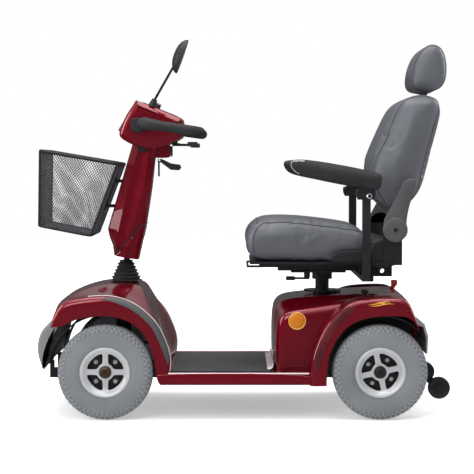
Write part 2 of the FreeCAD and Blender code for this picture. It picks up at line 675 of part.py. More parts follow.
def make_handlebar():
    """One moulded tube bent into a loop that runs through the console and behind it."""
    reach = measure("bar_reach")
    radius = measure("bar_radius")
    side = measure("bar_width") / 2 - radius
    corner = 62.0
    quarter = corner * math.sqrt(0.5)
    edges = []
    corners = [(0, -side), (reach, -side), (reach, side), (0, side)]
    for index, (x, y) in enumerate(corners):
        next_x, next_y = corners[(index + 1) % 4]
        after = Vector(next_x - x, next_y - y, 0).normalize()
        last_x, last_y = corners[index - 1]
        before = Vector(x - last_x, y - last_y, 0).normalize()
        here = Vector(x, y, 0)
        centre = here - before * corner + after * corner
        bend = centre + (before - after) * quarter
        start = here - before * corner
        finish = here + after * corner
        edges.append(Part.Arc(start, bend, finish).toShape())
        following = Vector(next_x, next_y, 0) - after * corner
        edges.append(Part.LineSegment(finish, following).toShape())
    path = Part.Wire(edges)
    first = edges[0].Vertexes[0].Point
    ring = Part.Wire([Part.Circle(first, Vector(0, 1, 0), radius).toShape()])
    loop = doc.addObject("Part::Feature", "bar_loop")
    loop.Shape = path.makePipeShell([ring], True, False)
    place(loop, front(-320), "0", up(931), "rotation(vector(0; 1; 0); bar_slope)")
    return loop


def make_bar_and_throttle():
    part(make_handlebar(), "handlebar")
    hub = rod("z", front(-222), "0", up(862), "13", "10")
    pin = rod("z", front(-222), "0", up(862), "4.9", "34")
    arms = [block((front(-228), front(-152)), ("-9", "9"), (up(862), up(870))),
            centred((front(-166), front(-148)), "330", (up(862), up(870)))]
    tips = [block((front(-178), front(-148)), span(side, "140", "196"), (up(859), up(873)))
            for side in (-1, 1)]
    part(fuse([hub, pin] + arms + tips), "throttle_lever")


def make_tilt_lever_and_flap():
    blade = slab(outline([(-283, 820), (-270, 820), (-238, 805), (-209, 801), (-205, 791), (-212, 782),
                          (-240, 784), (-272, 808), (-283, 810)], front, up), "14", "lever_arm")
    pull = rod("z", front(-279), "0", up(762), "3", "50")
    bore = cross_rod(front(-277), up(816), "3 + running_fit", "40")
    part(cut(fuse([blade, pull]), [bore]), "tilt_lever")
    flap = block((front(-240), front(-234)), ("-17", "17"), (up(826.8), up(862)))
    flap_bore = cross_rod(front(-236.5), up(828.5), "2 + running_fit", "60")
    part(cut(flap, [flap_bore]), "charge_flap")


MIRROR_FOOT = (-297, -80, 989.4)
MIRROR_NECK = (-224, -190, 1108)
MIRROR_CENTRE = (-201, -206, 1144)


def make_mirror():
    """Rubber-footed stem on the console, with a round-backed head that turns on the stem's end."""
    foot = Vector(measure(front(MIRROR_FOOT[0])), MIRROR_FOOT[1], measure(up(MIRROR_FOOT[2])))
    neck = Vector(measure(front(MIRROR_NECK[0])), MIRROR_NECK[1], measure(up(MIRROR_NECK[2])))
    slope = math.radians(measure("dash_slope"))
    upright = Vector(math.sin(slope), 0, math.cos(slope))
    cone_top = foot + upright * 24
    stem_line = neck - cone_top
    cone = Part.makeCone(14, 8, 26, foot, upright)
    stem = Part.makeCylinder(4, stem_line.Length, cone_top, stem_line)
    arm = doc.addObject("Part::Feature", "mirror_stem")
    arm.Shape = cone.fuse(stem).removeSplitter()
    part(arm, "mirror_arm")
    tilt = "rotation(vector(0; 1; 0); mirror_tilt)"
    place_at = (front(MIRROR_CENTRE[0]), str(MIRROR_CENTRE[1]), up(MIRROR_CENTRE[2]), tilt)
    shell = place(mirror_slice("mirror_height / 2", "mirror_width / 2", "18", "-40", "6"), *place_at)
    glass = place(mirror_slice("mirror_height / 2 - 5", "mirror_width / 2 - 5", "17", "6", "8.5"), *place_at)
    socket = doc.addObject("Part::Feature", "stem_socket")
    socket.Shape = Part.makeCylinder(4.3, stem_line.Length + 0.3, cone_top, stem_line)
    part(cut(group([shell, glass]), [socket]), "mirror_head")


def mirror_slice(tall, wide, deep, low, high):
    """The stretch of an egg-shaped body between two distances behind its middle."""
    egg = doc.addObject("Part::Ellipsoid", "egg")
    for prop, size in (("Radius1", tall), ("Radius2", deep), ("Radius3", wide)):
        bind(egg, prop, size)
    window = block((low, high), ("-90", "90"), ("-90", "90"), "slice")
    item = doc.addObject("Part::Common", "mirror_slice")
    item.Base = egg
    item.Tool = window
    return item


def make_basket():
    outer = outline([(-651, 845), (-404, 803), (-491, 573), (-655, 605)], front, up)
    body = slab(outer, "basket_width", "mesh_basket")
    inner = inset(outer, "basket_wall")
    mouth = [(front(-651 + 4), up(880)), (front(-391), up(880))]
    pocket_outline(body, [inner[2], inner[3], mouth[0], mouth[1]], "basket_width - 2 * basket_wall")
    part(body, "basket")


# ---------------------------------------------------------------- seat

def make_seat_post():
    post = rod("z", POST_X, "0", up(215), "post_radius", "225")
    flange = rod("z", POST_X, "0", up(383), "61", "6")
    part(fuse([post, flange]), "seat_post")


def make_swivel():
    deck = f"({POST_X} - 106)"
    far = f"({POST_X} + 70)"
    hub = rod("z", POST_X, "0", seat_up(424), "33", "28")
    plate = centred((deck, far), "244", (seat_up(452), seat_up(458)))
    rails = [block((f"({POST_X} - 150)", f"({POST_X} + 160)"), span(side, "92", "116"),
                   (seat_up(458), seat_up(468))) for side in (-1, 1)]
    stand = rod("z", POST_X, "0", seat_up(458), "20", "6")
    bore_depth = f"{up(440)} + 0.2 - {seat_up(400)}"
    bore = rod("z", POST_X, "0", seat_up(400), "post_radius + running_fit", bore_depth)
    lever_bore = rod("z", f"({POST_X} - 55)", "-108", seat_up(440), "4 + running_fit", "17")
    part(cut(fuse([hub, plate, stand] + rails), [bore, lever_bore]), "swivel_plate")
    arm = block((f"({POST_X} - 123)", f"({POST_X} - 47)"), ("-116", "-100"), (seat_up(430), seat_up(436)))
    pin = rod("z", f"({POST_X} - 55)", "-108", seat_up(430), "4", "21.7")
    washer = rod("z", f"({POST_X} - 55)", "-108", seat_up(436), "10", "15.7")
    grip = block((f"({POST_X} - 123)", f"({POST_X} - 95)"), ("-120", "-96"), (seat_up(427), seat_up(439)))
    part(fuse([arm, pin, washer, grip]), "swivel_lever")


def make_seat_frame():
    """Pan, upper rails, armrest carrier, recliner plates, rear skirt and accessory receiver."""
    pan = centred((rear(20), rear(440)), "400", (seat_up(484), seat_up(492)))
    rear_plate = centred((rear(405), rear(470)), "490", (seat_up(484), seat_up(492)))
    rails = [block((rear(51), rear(468)), span(side, "92", "116"), (seat_up(468.6), seat_up(484)))
             for side in (-1, 1)]
    carrier = centred((rear(370), rear(396)), "armrest_spread + post_side", (seat_up(436), seat_up(450)))
    hangers = [block((rear(370), rear(396)), span(side, "130", "142"), (seat_up(450), seat_up(484)))
               for side in (-1, 1)]
    brackets = [block((rear(440), rear(500)), span(side, "237", "243"), (seat_up(484), seat_up(600)))
                for side in (-1, 1)]
    pins = [rod("y", rear(477), "-262" if side < 0 else "237", seat_up(596), "6", "25") for side in (-1, 1)]
    tube = centred((rear(396), rear(491)), "receiver_side", (seat_up(432), seat_up(467)))
    skirt_outline = [(470, 484), (470, 473), (495, 480), (495, 558), (486, 558), (486, 492)]
    skirt = slab(outline(skirt_outline, rear, seat_up), "300", "skirt")
    socket = centred((rear(404), rear(500)), "receiver_side - 2 * receiver_wall",
                     (seat_up(436), seat_up(463)))
    pin_hole = cross_rod(rear(460), seat_up(449.5), "cross_pin_radius", "60")
    clamp = rod("z", rear(423), "0", seat_up(414), "9", "18")
    frame = fuse([pan, rear_plate, carrier, tube, skirt, clamp] + rails + hangers + brackets + pins)
    part(cut(frame, [socket, pin_hole]), "seat_frame")


def make_slide_bar():
    level = (seat_up(469), seat_up(476))
    arms = [block((rear(14), rear(62)), span(side, "120", "127"), level) for side in (-1, 1)]
    pins = [rod("y", rear(57), "-127" if side < 0 else "116.3", seat_up(472.5), "3", "10.7")
            for side in (-1, 1)]
    grip = centred((rear(10), rear(17)), "254", level)
    part(fuse(arms + pins + [grip]), "slide_bar")


def make_cushion():
    shape = outline([(15, 503), (-4, 520), (-7, 560), (4, 600), (30, 624), (127, 631), (250, 620),
                     (386, 597), (404, 580), (404, 493), (120, 492.4)], rear, seat_up)
    body = slab(shape, "seat_width", "cushion_pad")
    round_side_edges(body, "10")
    part(body, "seat_cushion")


def make_armrests():
    spread = half("armrest_spread")
    posts = []
    for side in (-1, 1):
        near, far = f"{spread} - post_side / 2", f"{spread} + post_side / 2"
        column = block((rear(370.5), rear(395.5)), span(side, near, far), (seat_up(450), seat_up(700)))
        head = slab(outline([(355, 692), (355, 700), (381, 713), (401, 713), (406, 692)], rear, seat_up),
                    "post_side", "post_head")
        place(head, "0", f"{side} * {spread}", "0")
        pin_start = f"({side} * ({spread} - 10) - {0 if side > 0 else 34})"
        pin = rod("y", rear(391), pin_start, seat_up(703), "5", "34")
        posts.append(fuse([column, head, pin]))
    part(group(posts), "armrest_posts")
    for side, word in ((-1, "left"), (1, "right")):
        pad = slab(outline([(155, 771), (140, 786), (137, 803), (148, 812), (290, 794), (428, 770),
                            (434, 745), (425, 719)], rear, seat_up), "armrest_width", "arm_pad")
        place(pad, "0", f"{side} * {spread}", "0")
        ear_sides = span(side, f"{spread} + post_side / 2 + 1", f"{spread} + post_side / 2 + 8")
        ear = block((rear(380), rear(403)), ear_sides, (seat_up(692), seat_up(745)))
        bore = rod("y", rear(391), f"({side} * {spread} - 60)", seat_up(703), "5 + running_fit", "120")
        part(cut(fuse([pad, ear]), [bore]), f"armrest_{word}")


def leaning_rod(x, y, z, radius, length, name):
    item = doc.addObject("Part::Cylinder", name)
    bind(item, "Radius", radius)
    bind(item, "Height", length)
    return place(item, x, y, z, "rotation(vector(0; 1; 0); back_lean)")


def make_backrest():
    shape = outline([(440, 677), (408, 745), (406, 785), (420, 840), (470, 950), (500, 1005), (525, 1024),
                     (575, 1031), (620, 1024), (637, 1002), (614, 905), (574, 745), (545, 680), (505, 650),
                     (469, 638)], rear, seat_up)
    body = slab(shape, "back_width", "back_pad")
    round_side_edges(body, "14")
    bores = [leaning_rod(rear(570), f"{side} * 55", seat_up(925), "headrest_post_radius + 0.3", "150", "bore")
             for side in (-1, 1)]
    part(cut(body, bores), "backrest")
    covers = []
    for side in (-1, 1):
        low, high = span(side, "243.5", "256")
        disc = rod("y", rear(477), low, seat_up(596), "39", f"({high}) - ({low})")
        arm_outline = [(466, 630), (500, 604), (556, 738), (548, 756), (530, 756), (518, 744)]
        arm = slab(outline(arm_outline, rear, seat_up), "8", "recliner_arm")
        place(arm, "0", f"{side} * 247.5", "0")
        stud = rod("y", rear(536), "220.2" if side > 0 else "-251", seat_up(742), "7", "30.8")
        bore = rod("y", rear(477), low, seat_up(596), "6 + running_fit", f"({high}) - ({low})")
        covers.append(cut(fuse([disc, arm, stud]), [bore]))
    part(group(covers), "recliner_covers")


def make_recline_lever():
    shape = outline([(487, 600), (481, 610), (468, 606), (430, 548), (424, 520), (438, 518), (444, 542),
                     (484, 584)], rear, seat_up)
    blade = slab(shape, "5", "recline_blade")
    place(blade, "0", "259.5", "0")
    bore = rod("y", rear(477), "240", seat_up(596), "6 + running_fit", "60")
    part(cut(blade, [bore]), "recline_lever")


def make_headrest():
    shape = outline([(536, 1052), (541, 1110), (560, 1160), (590, 1192), (622, 1195), (650, 1172), (661, 1120),
                     (657, 1065), (630, 1034), (560, 1034)], rear, seat_up)
    body = slab(shape, "headrest_width", "head_pad")
    round_side_edges(body, "18")
    posts = [leaning_rod(rear(575), f"{side} * 55", seat_up(945), "headrest_post_radius", "130", "post")
             for side in (-1, 1)]
    part(fuse([body] + posts), "headrest")


make_chassis_frame()
make_front_axle()
make_knuckle(-1, "knuckle_left")
make_knuckle(1, "knuckle_right")
make_tie_rod()
make_floor()
make_cowl()
make_bumpers()
make_liners()
make_rear_body()
make_reflectors()
make_power()
make_drive_unit()
make_freewheel_lever()
make_anti_tip()
for wheel_name, wheel_x, wheel_side in (("front_left", FRONT_X, -1), ("front_right", FRONT_X, 1),
                                        ("rear_left", REAR_X, -1), ("rear_right", REAR_X, 1)):
    make_wheel(wheel_name, wheel_x, wheel_side)
make_steering_shaft()
make_boot()
make_column()
make_tiller_covers()
make_console()
make_bar_and_throttle()
make_tilt_lever_and_flap()
make_mirror()
make_basket()
make_seat_post()
make_swivel()
make_seat_frame()
make_slide_bar()
make_cushion()
make_armrests()
make_backrest()
make_recline_lever()
make_headrest()

doc.recompute()
for item in doc.Objects:
    if "Invalid" in item.State or "Error" in item.State:
        raise RuntimeError(f"{item.Label} did not compute: {item.State}")
for item in finished:
    if item.Shape.isNull() or not item.Shape.isValid() or not item.Shape.Solids:
        raise RuntimeError(f"{item.Label} has no sound solid")
os.makedirs("parts", exist_ok=True)
for item in finished:
    item.Shape.exportStep(f"parts/{item.Label}.step")
print(f"{len(finished)} sub-parts written")
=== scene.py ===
"""The looks of a four-wheel mobility scooter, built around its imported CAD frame.

Outlines and sizes are in millimetres in the row frame: forward is -X, the rider's left is -Y and up is +Z.
"""

import math

import bmesh
import bpy
import numpy as np
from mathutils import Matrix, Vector
from mathutils.bvhtree import BVHTree


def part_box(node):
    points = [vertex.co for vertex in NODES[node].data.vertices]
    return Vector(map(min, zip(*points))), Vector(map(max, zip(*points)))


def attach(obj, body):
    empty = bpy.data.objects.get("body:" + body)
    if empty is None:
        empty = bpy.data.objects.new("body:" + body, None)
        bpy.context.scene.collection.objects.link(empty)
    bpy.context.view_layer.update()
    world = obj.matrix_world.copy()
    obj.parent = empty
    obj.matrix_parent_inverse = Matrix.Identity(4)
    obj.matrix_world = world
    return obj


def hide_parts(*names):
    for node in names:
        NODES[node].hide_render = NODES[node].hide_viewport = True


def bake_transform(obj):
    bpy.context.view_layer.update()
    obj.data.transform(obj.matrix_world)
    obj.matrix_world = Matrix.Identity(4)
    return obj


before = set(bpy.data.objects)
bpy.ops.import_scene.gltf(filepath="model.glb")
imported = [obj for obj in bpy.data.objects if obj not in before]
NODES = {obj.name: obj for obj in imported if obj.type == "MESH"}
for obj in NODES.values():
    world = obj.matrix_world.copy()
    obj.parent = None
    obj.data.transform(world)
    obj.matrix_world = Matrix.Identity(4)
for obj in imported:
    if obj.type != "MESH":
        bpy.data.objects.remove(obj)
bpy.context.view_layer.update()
MM = 0.001
SIDES = {"left": -1, "right": 1}
ENDS = {"front": -434.6, "rear": 428.4}  # axle places along X
AXLE_HEIGHT = 150
WHEEL_PLACE = 262  # wheel centre from the middle plane
COLUMN_X = -388


# ---------------------------------------------------------------- lines and meshes


def soften(points, rounds=3, closed=True):
    """The line with its corners cut again and again, so that it stays inside them."""
    line = [np.array(p, float) for p in points]
    for _ in range(rounds):
        following = line[1:] + line[:1] if closed else line[1:]
        cut = []
        for a, b in zip(line, following):
            cut.append(a * 0.75 + b * 0.25)
            cut.append(a * 0.25 + b * 0.75)
        if not closed:
            cut[0] = line[0]
            cut[-1] = line[-1]
        line = cut
    return np.array(line)


def spaced(points, count, closed=True):
    """count points at equal steps along the line."""
    line = np.array(points, float)
    if closed:
        line = np.vstack([line, line[:1]])
    steps = np.linalg.norm(np.diff(line, axis=0), axis=1)
    along = np.concatenate([[0], np.cumsum(steps)])
    places = np.linspace(0, along[-1], count, endpoint=not closed)
    return np.column_stack([np.interp(places, along, line[:, i]) for i in range(line.shape[1])])


def side_normals(line, closed=True):
    """Unit normals of a flat line, to the left of its direction."""
    if closed:
        ahead = np.roll(line, -1, axis=0) - np.roll(line, 1, axis=0)
    else:
        ahead = np.gradient(line, axis=0)
    ahead /= np.maximum(np.linalg.norm(ahead, axis=1), 1e-9)[:, None]
    return np.column_stack([-ahead[:, 1], ahead[:, 0]])


def shrink(outline, depth):
    """A closed outline drawn in by depth, a number or one per point."""
    after = np.roll(outline, -1, axis=0)
    area = np.sum(outline[:, 0] * after[:, 1] - after[:, 0] * outline[:, 1])
    return outline + side_normals(outline) * (np.sign(area) * np.asarray(depth)).reshape(-1, 1)


def grid(rows, around=False, over=False):
    """A sheet of rows; around joins each row's ends, over joins the first and last rows."""
    rows = np.array(rows, float)
    count, width = rows.shape[:2]
    faces = []
    for i in range(count if over else count - 1):
        for j in range(width if around else width - 1):
            k, n = (i + 1) % count, (j + 1) % width
            faces.append((i * width + j, i * width + n, k * width + n, k * width + j))
    return rows.reshape(-1, 3), faces


def capped(rows):
    """Points and faces of closed rings with a flat face over the first and the last."""
    points, faces = grid(rows, around=True)
    width = len(rows[0])
    faces.append(tuple(range(width)))
    faces.append(tuple(range(len(points) - width, len(points))))
    return points, faces


def make(name, shape, look, sharp=40):
    """A mesh object of points in millimetres."""
    points, faces = shape
    mesh = bpy.data.meshes.new(name)
    mesh.from_pydata((np.array(points) * MM).tolist(), [], faces)
    mesh.materials.append(look)
    work = bmesh.new()
    work.from_mesh(mesh)
    bmesh.ops.recalc_face_normals(work, faces=work.faces)
    work.to_mesh(mesh)
    work.free()
    obj = bpy.data.objects.new(name, mesh)
    bpy.context.scene.collection.objects.link(obj)
    smooth(obj, sharp)
    return obj


def smooth(obj, sharp=40):
    """Smooth shading with the edges over sharp degrees kept crisp."""
    obj.data.shade_smooth()
    obj.data.set_sharp_from_angle(angle=math.radians(sharp))


def settle(obj):
    """Turns the object's modifiers into its mesh."""
    bpy.context.view_layer.update()
    seen = obj.evaluated_get(bpy.context.evaluated_depsgraph_get())
    mesh = bpy.data.meshes.new_from_object(seen)
    obj.modifiers.clear()
    obj.data = mesh
    return obj


def thicken(obj, thickness, offset=-1.0):
    shell = obj.modifiers.new("thickness", "SOLIDIFY")
    shell.thickness = thickness * MM
    shell.offset = offset
    return settle(obj)


def round_edges(obj, width, segments=3):
    edges = obj.modifiers.new("edges", "BEVEL")
    edges.width = width * MM
    edges.segments = segments
    edges.limit_method = "ANGLE"
    edges.angle_limit = math.radians(35)
    return settle(obj)


def carve(obj, cutters):
    """The object with the cutters' volumes taken away; the cutters are removed."""
    for cutter in cutters:
        cut = obj.modifiers.new("cut", "BOOLEAN")
        cut.operation = "DIFFERENCE"
        cut.solver = "EXACT"
        cut.object = cutter
    settle(obj)
    for cutter in cutters:
        bpy.data.objects.remove(cutter)
    return obj


def belongs(obj, body, slot, *nodes):
    """The piece rides on a body and stands for these CAD nodes; the slot is not used."""
    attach(obj, body)
    if nodes:
        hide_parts(*nodes)
    return obj


def piece(name, shape, look, body, slot, *nodes, sharp=40):
    """A new mesh object that belongs to a body."""
    return belongs(make(name, shape, look, sharp), body, slot, *nodes)


def prism(outline, low, high):
    """An XZ outline run from low to high along Y."""
    return capped([[(x, y, z) for x, z in outline] for y in (low, high)])


def pillow(outline, stations, weight=None):
    """Rings of an XZ outline from side to side, each drawn in by its station's depth times weight."""
    outline = np.asarray(outline, float)
    scale = np.ones(len(outline)) if weight is None else np.array([weight(x, z) for x, z in outline])
    rows = []
    for y, depth in stations:
        ring = shrink(outline, depth * scale)
        rows.append(np.column_stack([ring[:, 0], np.full(len(ring), y), ring[:, 1]]))
    return capped(rows)


def both_sides(stations):
    """Stations from the middle out to one side, mirrored to the other."""
    return [(-y, depth) for y, depth in reversed(stations)] + [s for s in stations if s[0] > 0]


def rounding(half, radius, steps=6):
    """Stations from the middle to half, where the edge is rounded by a quarter circle."""
    turns = [math.pi / 2 * i / steps for i in range(steps + 1)]
    edge = [(half - radius + radius * math.sin(a), radius * (1 - math.cos(a))) for a in turns]
    return [(0.0, 0.0)] + edge


def tube(path, radius, sides=12, closed=False):
    """A round bar along a path; radius is a number or one per point."""
    path = np.array(path, float)
    radii = np.broadcast_to(np.asarray(radius, float), (len(path),))
    if closed:
        tangents = np.roll(path, -1, axis=0) - np.roll(path, 1, axis=0)
    else:
        tangents = np.gradient(path, axis=0)
    tangents /= np.linalg.norm(tangents, axis=1)[:, None]
    across = np.cross(tangents[0], (0.0, 0.0, 1.0))
    if np.linalg.norm(across) < 0.1:
        across = np.cross(tangents[0], (0.0, 1.0, 0.0))
    rows = []
    for centre, tangent, size in zip(path, tangents, radii):
        across = across - tangent * np.dot(across, tangent)
        across /= np.linalg.norm(across)
        upward = np.cross(across, tangent)
        turns = np.arange(sides) * 2 * math.pi / sides
        rows.append([centre + size * (math.cos(a) * across + math.sin(a) * upward) for a in turns])
    if closed:
        return grid(rows, around=True, over=True)
    return capped(rows)


def lathe(profile, centre, axis, segments=64, closed=True):
    """A profile of (radius, distance along the axis) turned about an axis through centre."""
    along = np.array(axis, float) / np.linalg.norm(axis)
    first = np.cross(along, (1.0, 0.0, 0.0) if abs(along[0]) < 0.9 else (0.0, 0.0, 1.0))
    first /= np.linalg.norm(first)
    second = np.cross(along, first)
    turns = np.arange(segments) * 2 * math.pi / segments
    rows = []
    for radius, height in profile:
        base = np.array(centre, float) + along * height
        rows.append([base + radius * (math.cos(a) * first + math.sin(a) * second) for a in turns])
    return grid(rows, around=True, over=closed) if closed else capped(rows)


def joined(shapes):
    """Several shapes as one."""
    points, faces = [], []
    for some, sides in shapes:
        start = len(points)
        points.extend(np.asarray(some, float).tolist())
        faces.extend(tuple(i + start for i in side) for side in sides)
    return np.array(points), faces


# ---------------------------------------------------------------- materials


def tuned(node, **values):
    """The shader node with these inputs set; an underscore in a name stands for a space."""
    for name, value in values.items():
        node.inputs[name.replace("_", " ")].default_value = value
    return node


def added(nodes, kind, **values):
    return tuned(nodes.new("ShaderNode" + kind), **values)


def surface(name, colour, rough, metal=0.0, coat=0.0, grain=400.0, bump=0.08, vary=0.14, cells=False,
            wear_and_shade=0.0, shine=0.5):
    """A moulded, painted or cast surface: patchy colour and gloss, fine grain, and, where asked, edges made
    paler, partly as wear and partly as a painted highlight, with painted shade in the grooves.
    """
    look = bpy.data.materials.new(name)
    look.use_nodes = True
    nodes, links = look.node_tree.nodes, look.node_tree.links
    shader = nodes["Principled BSDF"]
    tuned(shader, Metallic=metal, Specular_IOR_Level=shine, Coat_Weight=coat, Coat_Roughness=0.04)
    place = nodes.new("ShaderNodeTexCoord").outputs["Object"]

    patches = added(nodes, "TexNoise", Scale=9.0, Detail=6.0)
    links.new(place, patches.inputs["Vector"])
    tint = nodes.new("ShaderNodeValToRGB")
    tint.color_ramp.elements[0].position = 0.3
    tint.color_ramp.elements[1].position = 0.7
    tint.color_ramp.elements[0].color = (*[c * (1 - vary) for c in colour], 1)
    tint.color_ramp.elements[1].color = (*[min(1, c * (1 + vary)) for c in colour], 1)
    links.new(patches.outputs["Fac"], tint.inputs["Fac"])
    painted = tint.outputs["Color"]
    # paler edges, partly wear and partly a painted highlight, and painted shade in the grooves
    if wear_and_shade:
        painted = wear_highlight_and_groove_shade(nodes, links, painted, colour, wear_and_shade)
    links.new(painted, shader.inputs["Base Color"])

    smears = added(nodes, "TexNoise", Scale=34.0, Detail=4.0)
    links.new(place, smears.inputs["Vector"])
    gloss = added(nodes, "MapRange", To_Min=max(0.02, rough - 0.07), To_Max=min(1.0, rough + 0.09))
    links.new(smears.outputs["Fac"], gloss.inputs["Value"])
    links.new(gloss.outputs["Result"], shader.inputs["Roughness"])

    if cells:
        fine = added(nodes, "TexVoronoi", Scale=grain)
        height = fine.outputs["Distance"]
    else:
        fine = added(nodes, "TexNoise", Scale=grain, Detail=3.0)
        height = fine.outputs["Fac"]
    links.new(place, fine.inputs["Vector"])
    relief = added(nodes, "Bump", Strength=bump, Distance=0.0006)
    links.new(height, relief.inputs["Height"])
    links.new(relief.outputs["Normal"], shader.inputs["Normal"])
    return look


def wear_highlight_and_groove_shade(nodes, links, painted, colour, amount):
    """The colour made paler where the surface turns an outer edge, partly as wear and partly as a painted
    highlight, and darker in its grooves as painted shade.
    """
    shape = nodes.new("ShaderNodeNewGeometry")
    # outer edges made paler: partly wear, partly a painted highlight
    edge = added(nodes, "MapRange", From_Min=0.52, From_Max=0.62, To_Max=amount)
    links.new(shape.outputs["Pointiness"], edge.inputs["Value"])
    worn_and_highlit = nodes.new("ShaderNodeMix")
    worn_and_highlit.data_type = "RGBA"
    links.new(edge.outputs["Result"], worn_and_highlit.inputs["Factor"])
    links.new(painted, worn_and_highlit.inputs[6])
    worn_and_highlit.inputs[7].default_value = (*[min(1, c * 1.6 + 0.12) for c in colour], 1)
    # painted shade: the grooves darkened to a quarter of the colour
    groove = added(nodes, "MapRange", From_Min=0.48, From_Max=0.42)
    links.new(shape.outputs["Pointiness"], groove.inputs["Value"])
    groove_shade = nodes.new("ShaderNodeMix")
    groove_shade.data_type = "RGBA"
    links.new(groove.outputs["Result"], groove_shade.inputs["Factor"])
    links.new(worn_and_highlit.outputs[2], groove_shade.inputs[6])
    groove_shade.inputs[7].default_value = (*[c * 0.25 for c in colour], 1)
    return groove_shade.outputs[2]


def lens(name, colour, facets=260.0):
    """Moulded reflector plastic with prism cells behind a glossy face."""
    look = surface(name, colour, 0.12, coat=1.0, grain=facets, bump=0.7, vary=0.25, cells=True)
    shader = look.node_tree.nodes["Principled BSDF"]
    shader.inputs["Transmission Weight"].default_value = 0.25
    return look


RED = surface("candy_red", (0.17, 0.0008, 0.009), 0.3, metal=0.45, coat=1.0, grain=2600, bump=0.01,
              vary=0.06, shine=0.1)
VINYL = surface("grey_vinyl", (0.082, 0.087, 0.1), 0.4, grain=620, bump=0.35, vary=0.08, cells=True)
SEAM = surface("vinyl_piping", (0.05, 0.053, 0.06), 0.45, grain=700, bump=0.2)
# the tyre's lug edges are painted paler, partly wear and partly a painted highlight, and its grooves darker
# as painted shade
TYRE = surface("grey_tyre", (0.158, 0.167, 0.18), 0.74, grain=520, bump=0.3, vary=0.12, wear_and_shade=0.4)
ALLOY = surface("cast_alloy", (0.6, 0.61, 0.63), 0.32, metal=0.4, grain=900, bump=0.12, vary=0.06)
STEEL = surface("bright_steel", (0.7, 0.7, 0.71), 0.2, metal=0.7, grain=1500, bump=0.05, vary=0.05)
FRAME_PAINT = surface("painted_frame", (0.014, 0.014, 0.016), 0.34, coat=0.3, grain=700, bump=0.12,
                      shine=0.25)
PLASTIC = surface("black_plastic", (0.016, 0.016, 0.018), 0.46, grain=900, bump=0.3, shine=0.25)
SOFT_BLACK = surface("soft_black", (0.02, 0.02, 0.022), 0.56, grain=520, bump=0.35, cells=True, shine=0.25)
TRIM = surface("dark_trim", (0.06, 0.062, 0.065), 0.5, grain=700, bump=0.3, cells=True)
INLAY = surface("patterned_inlay", (0.075, 0.006, 0.01), 0.38, grain=260, bump=0.9, vary=0.4, cells=True,
                shine=0.25)
BUMPER = surface("bumper_grey", (0.16, 0.164, 0.164), 0.55, grain=620, bump=0.35, cells=True)
MAT = surface("floor_rubber", (0.042, 0.046, 0.048), 0.66, grain=900, bump=0.5, cells=True)
BOOT = surface("boot_rubber", (0.012, 0.012, 0.013), 0.5, grain=500, bump=0.2)
WIRE = surface("mesh_wire", (0.08, 0.08, 0.09), 0.42, metal=0.3, grain=700, bump=0.1, shine=0.25)
AMBER = lens("amber_lens", (0.72, 0.22, 0.006))
AMBER_RING = lens("amber_ring", (0.9, 0.42, 0.07))
RED_LENS = lens("red_lens", (0.45, 0.006, 0.008))
LAMP = lens("lamp_lens", (0.09, 0.1, 0.12), facets=150)
GLASS = surface("mirror_glass", (0.82, 0.84, 0.86), 0.04, metal=1.0, grain=60, bump=0.0, vary=0.02)
CASE = surface("battery_case", (0.03, 0.032, 0.036), 0.5, grain=700, bump=0.25)
GEARBOX = surface("gearbox_metal", (0.2, 0.21, 0.22), 0.42, metal=0.8, grain=300, bump=0.3)
CONTROLLER = surface("controller_case", (0.09, 0.095, 0.1), 0.4, metal=0.6, grain=500, bump=0.2)
BUTTON = surface("red_button", (0.42, 0.01, 0.01), 0.36, grain=700, bump=0.1)
# pale pink for beads and the mat's cove, laid where the red edges and the cove catch light: a painted
# highlight
PAINTED_HIGHLIGHT = surface("pale_painted_highlight", (0.78, 0.66, 0.68), 0.34, coat=0.4, grain=600, bump=0.1)
GOLD = surface("gold_badge", (0.78, 0.42, 0.05), 0.3, metal=0.35, grain=900, bump=0.05)
BRASS = surface("hub_nut", (0.1, 0.062, 0.04), 0.36, metal=0.8, grain=600, bump=0.2)

CAD_LOOKS = {
    FRAME_PAINT: [
        "chassis_frame", "front_axle_beam", "knuckle_left", "knuckle_right", "anti_tip_frame", "seat_post",
        "steering_shaft", "tiller_column", "swivel_plate", "seat_frame", "armrest_posts", "slide_bar",
        "swivel_lever",
    ],
    STEEL: ["tie_rod", "ignition_key"],
    RED: ["floor_pan"],
    BUMPER: ["rear_bumper"],
    PLASTIC: [
        "wheel_liners", "throttle_lever", "speed_dial", "charge_flap", "tilt_lever", "mirror_arm",
        "dash_panel", "recline_lever", "anti_tip_wheel_left", "anti_tip_wheel_right",
    ],
    BUTTON: ["horn_button", "freewheel_lever"],
    CASE: ["batteries"],
    CONTROLLER: ["motor_controller"],
    GEARBOX: ["drive_unit"],
    LAMP: ["headlamp"],
}


def dress_frame():
    """Gives each CAD node that stays its material."""
    for look, names in CAD_LOOKS.items():
        for name in names:
            mesh = NODES[name].data
            mesh.materials.clear()
            mesh.materials.append(look)
            for face in mesh.polygons:
                face.material_index = 0


# ---------------------------------------------------------------- wheels

RIM_RADIUS = 76
LUGS = 54  # tread lugs around the tyre
LUG_PITCH = 24  # from one row of lugs to the next but one, across the tread
LUG_HEIGHT = 4.2
BOLT_CIRCLE = 43  # radius of the wheel bolts' circle


def tread_height(turn, along, radius):
    """How far the tread stands up: staggered diamond lugs over the crown and shoulders only."""
    shoulder = min(1.0, max(0.0, (radius - 126) / 4))
    wave = math.cos(turn * LUGS) * math.cos(along * 2 * math.pi / LUG_PITCH)
    block = min(1.0, max(0.0, 0.5 + wave * 3.6))
    return LUG_HEIGHT * shoulder * block


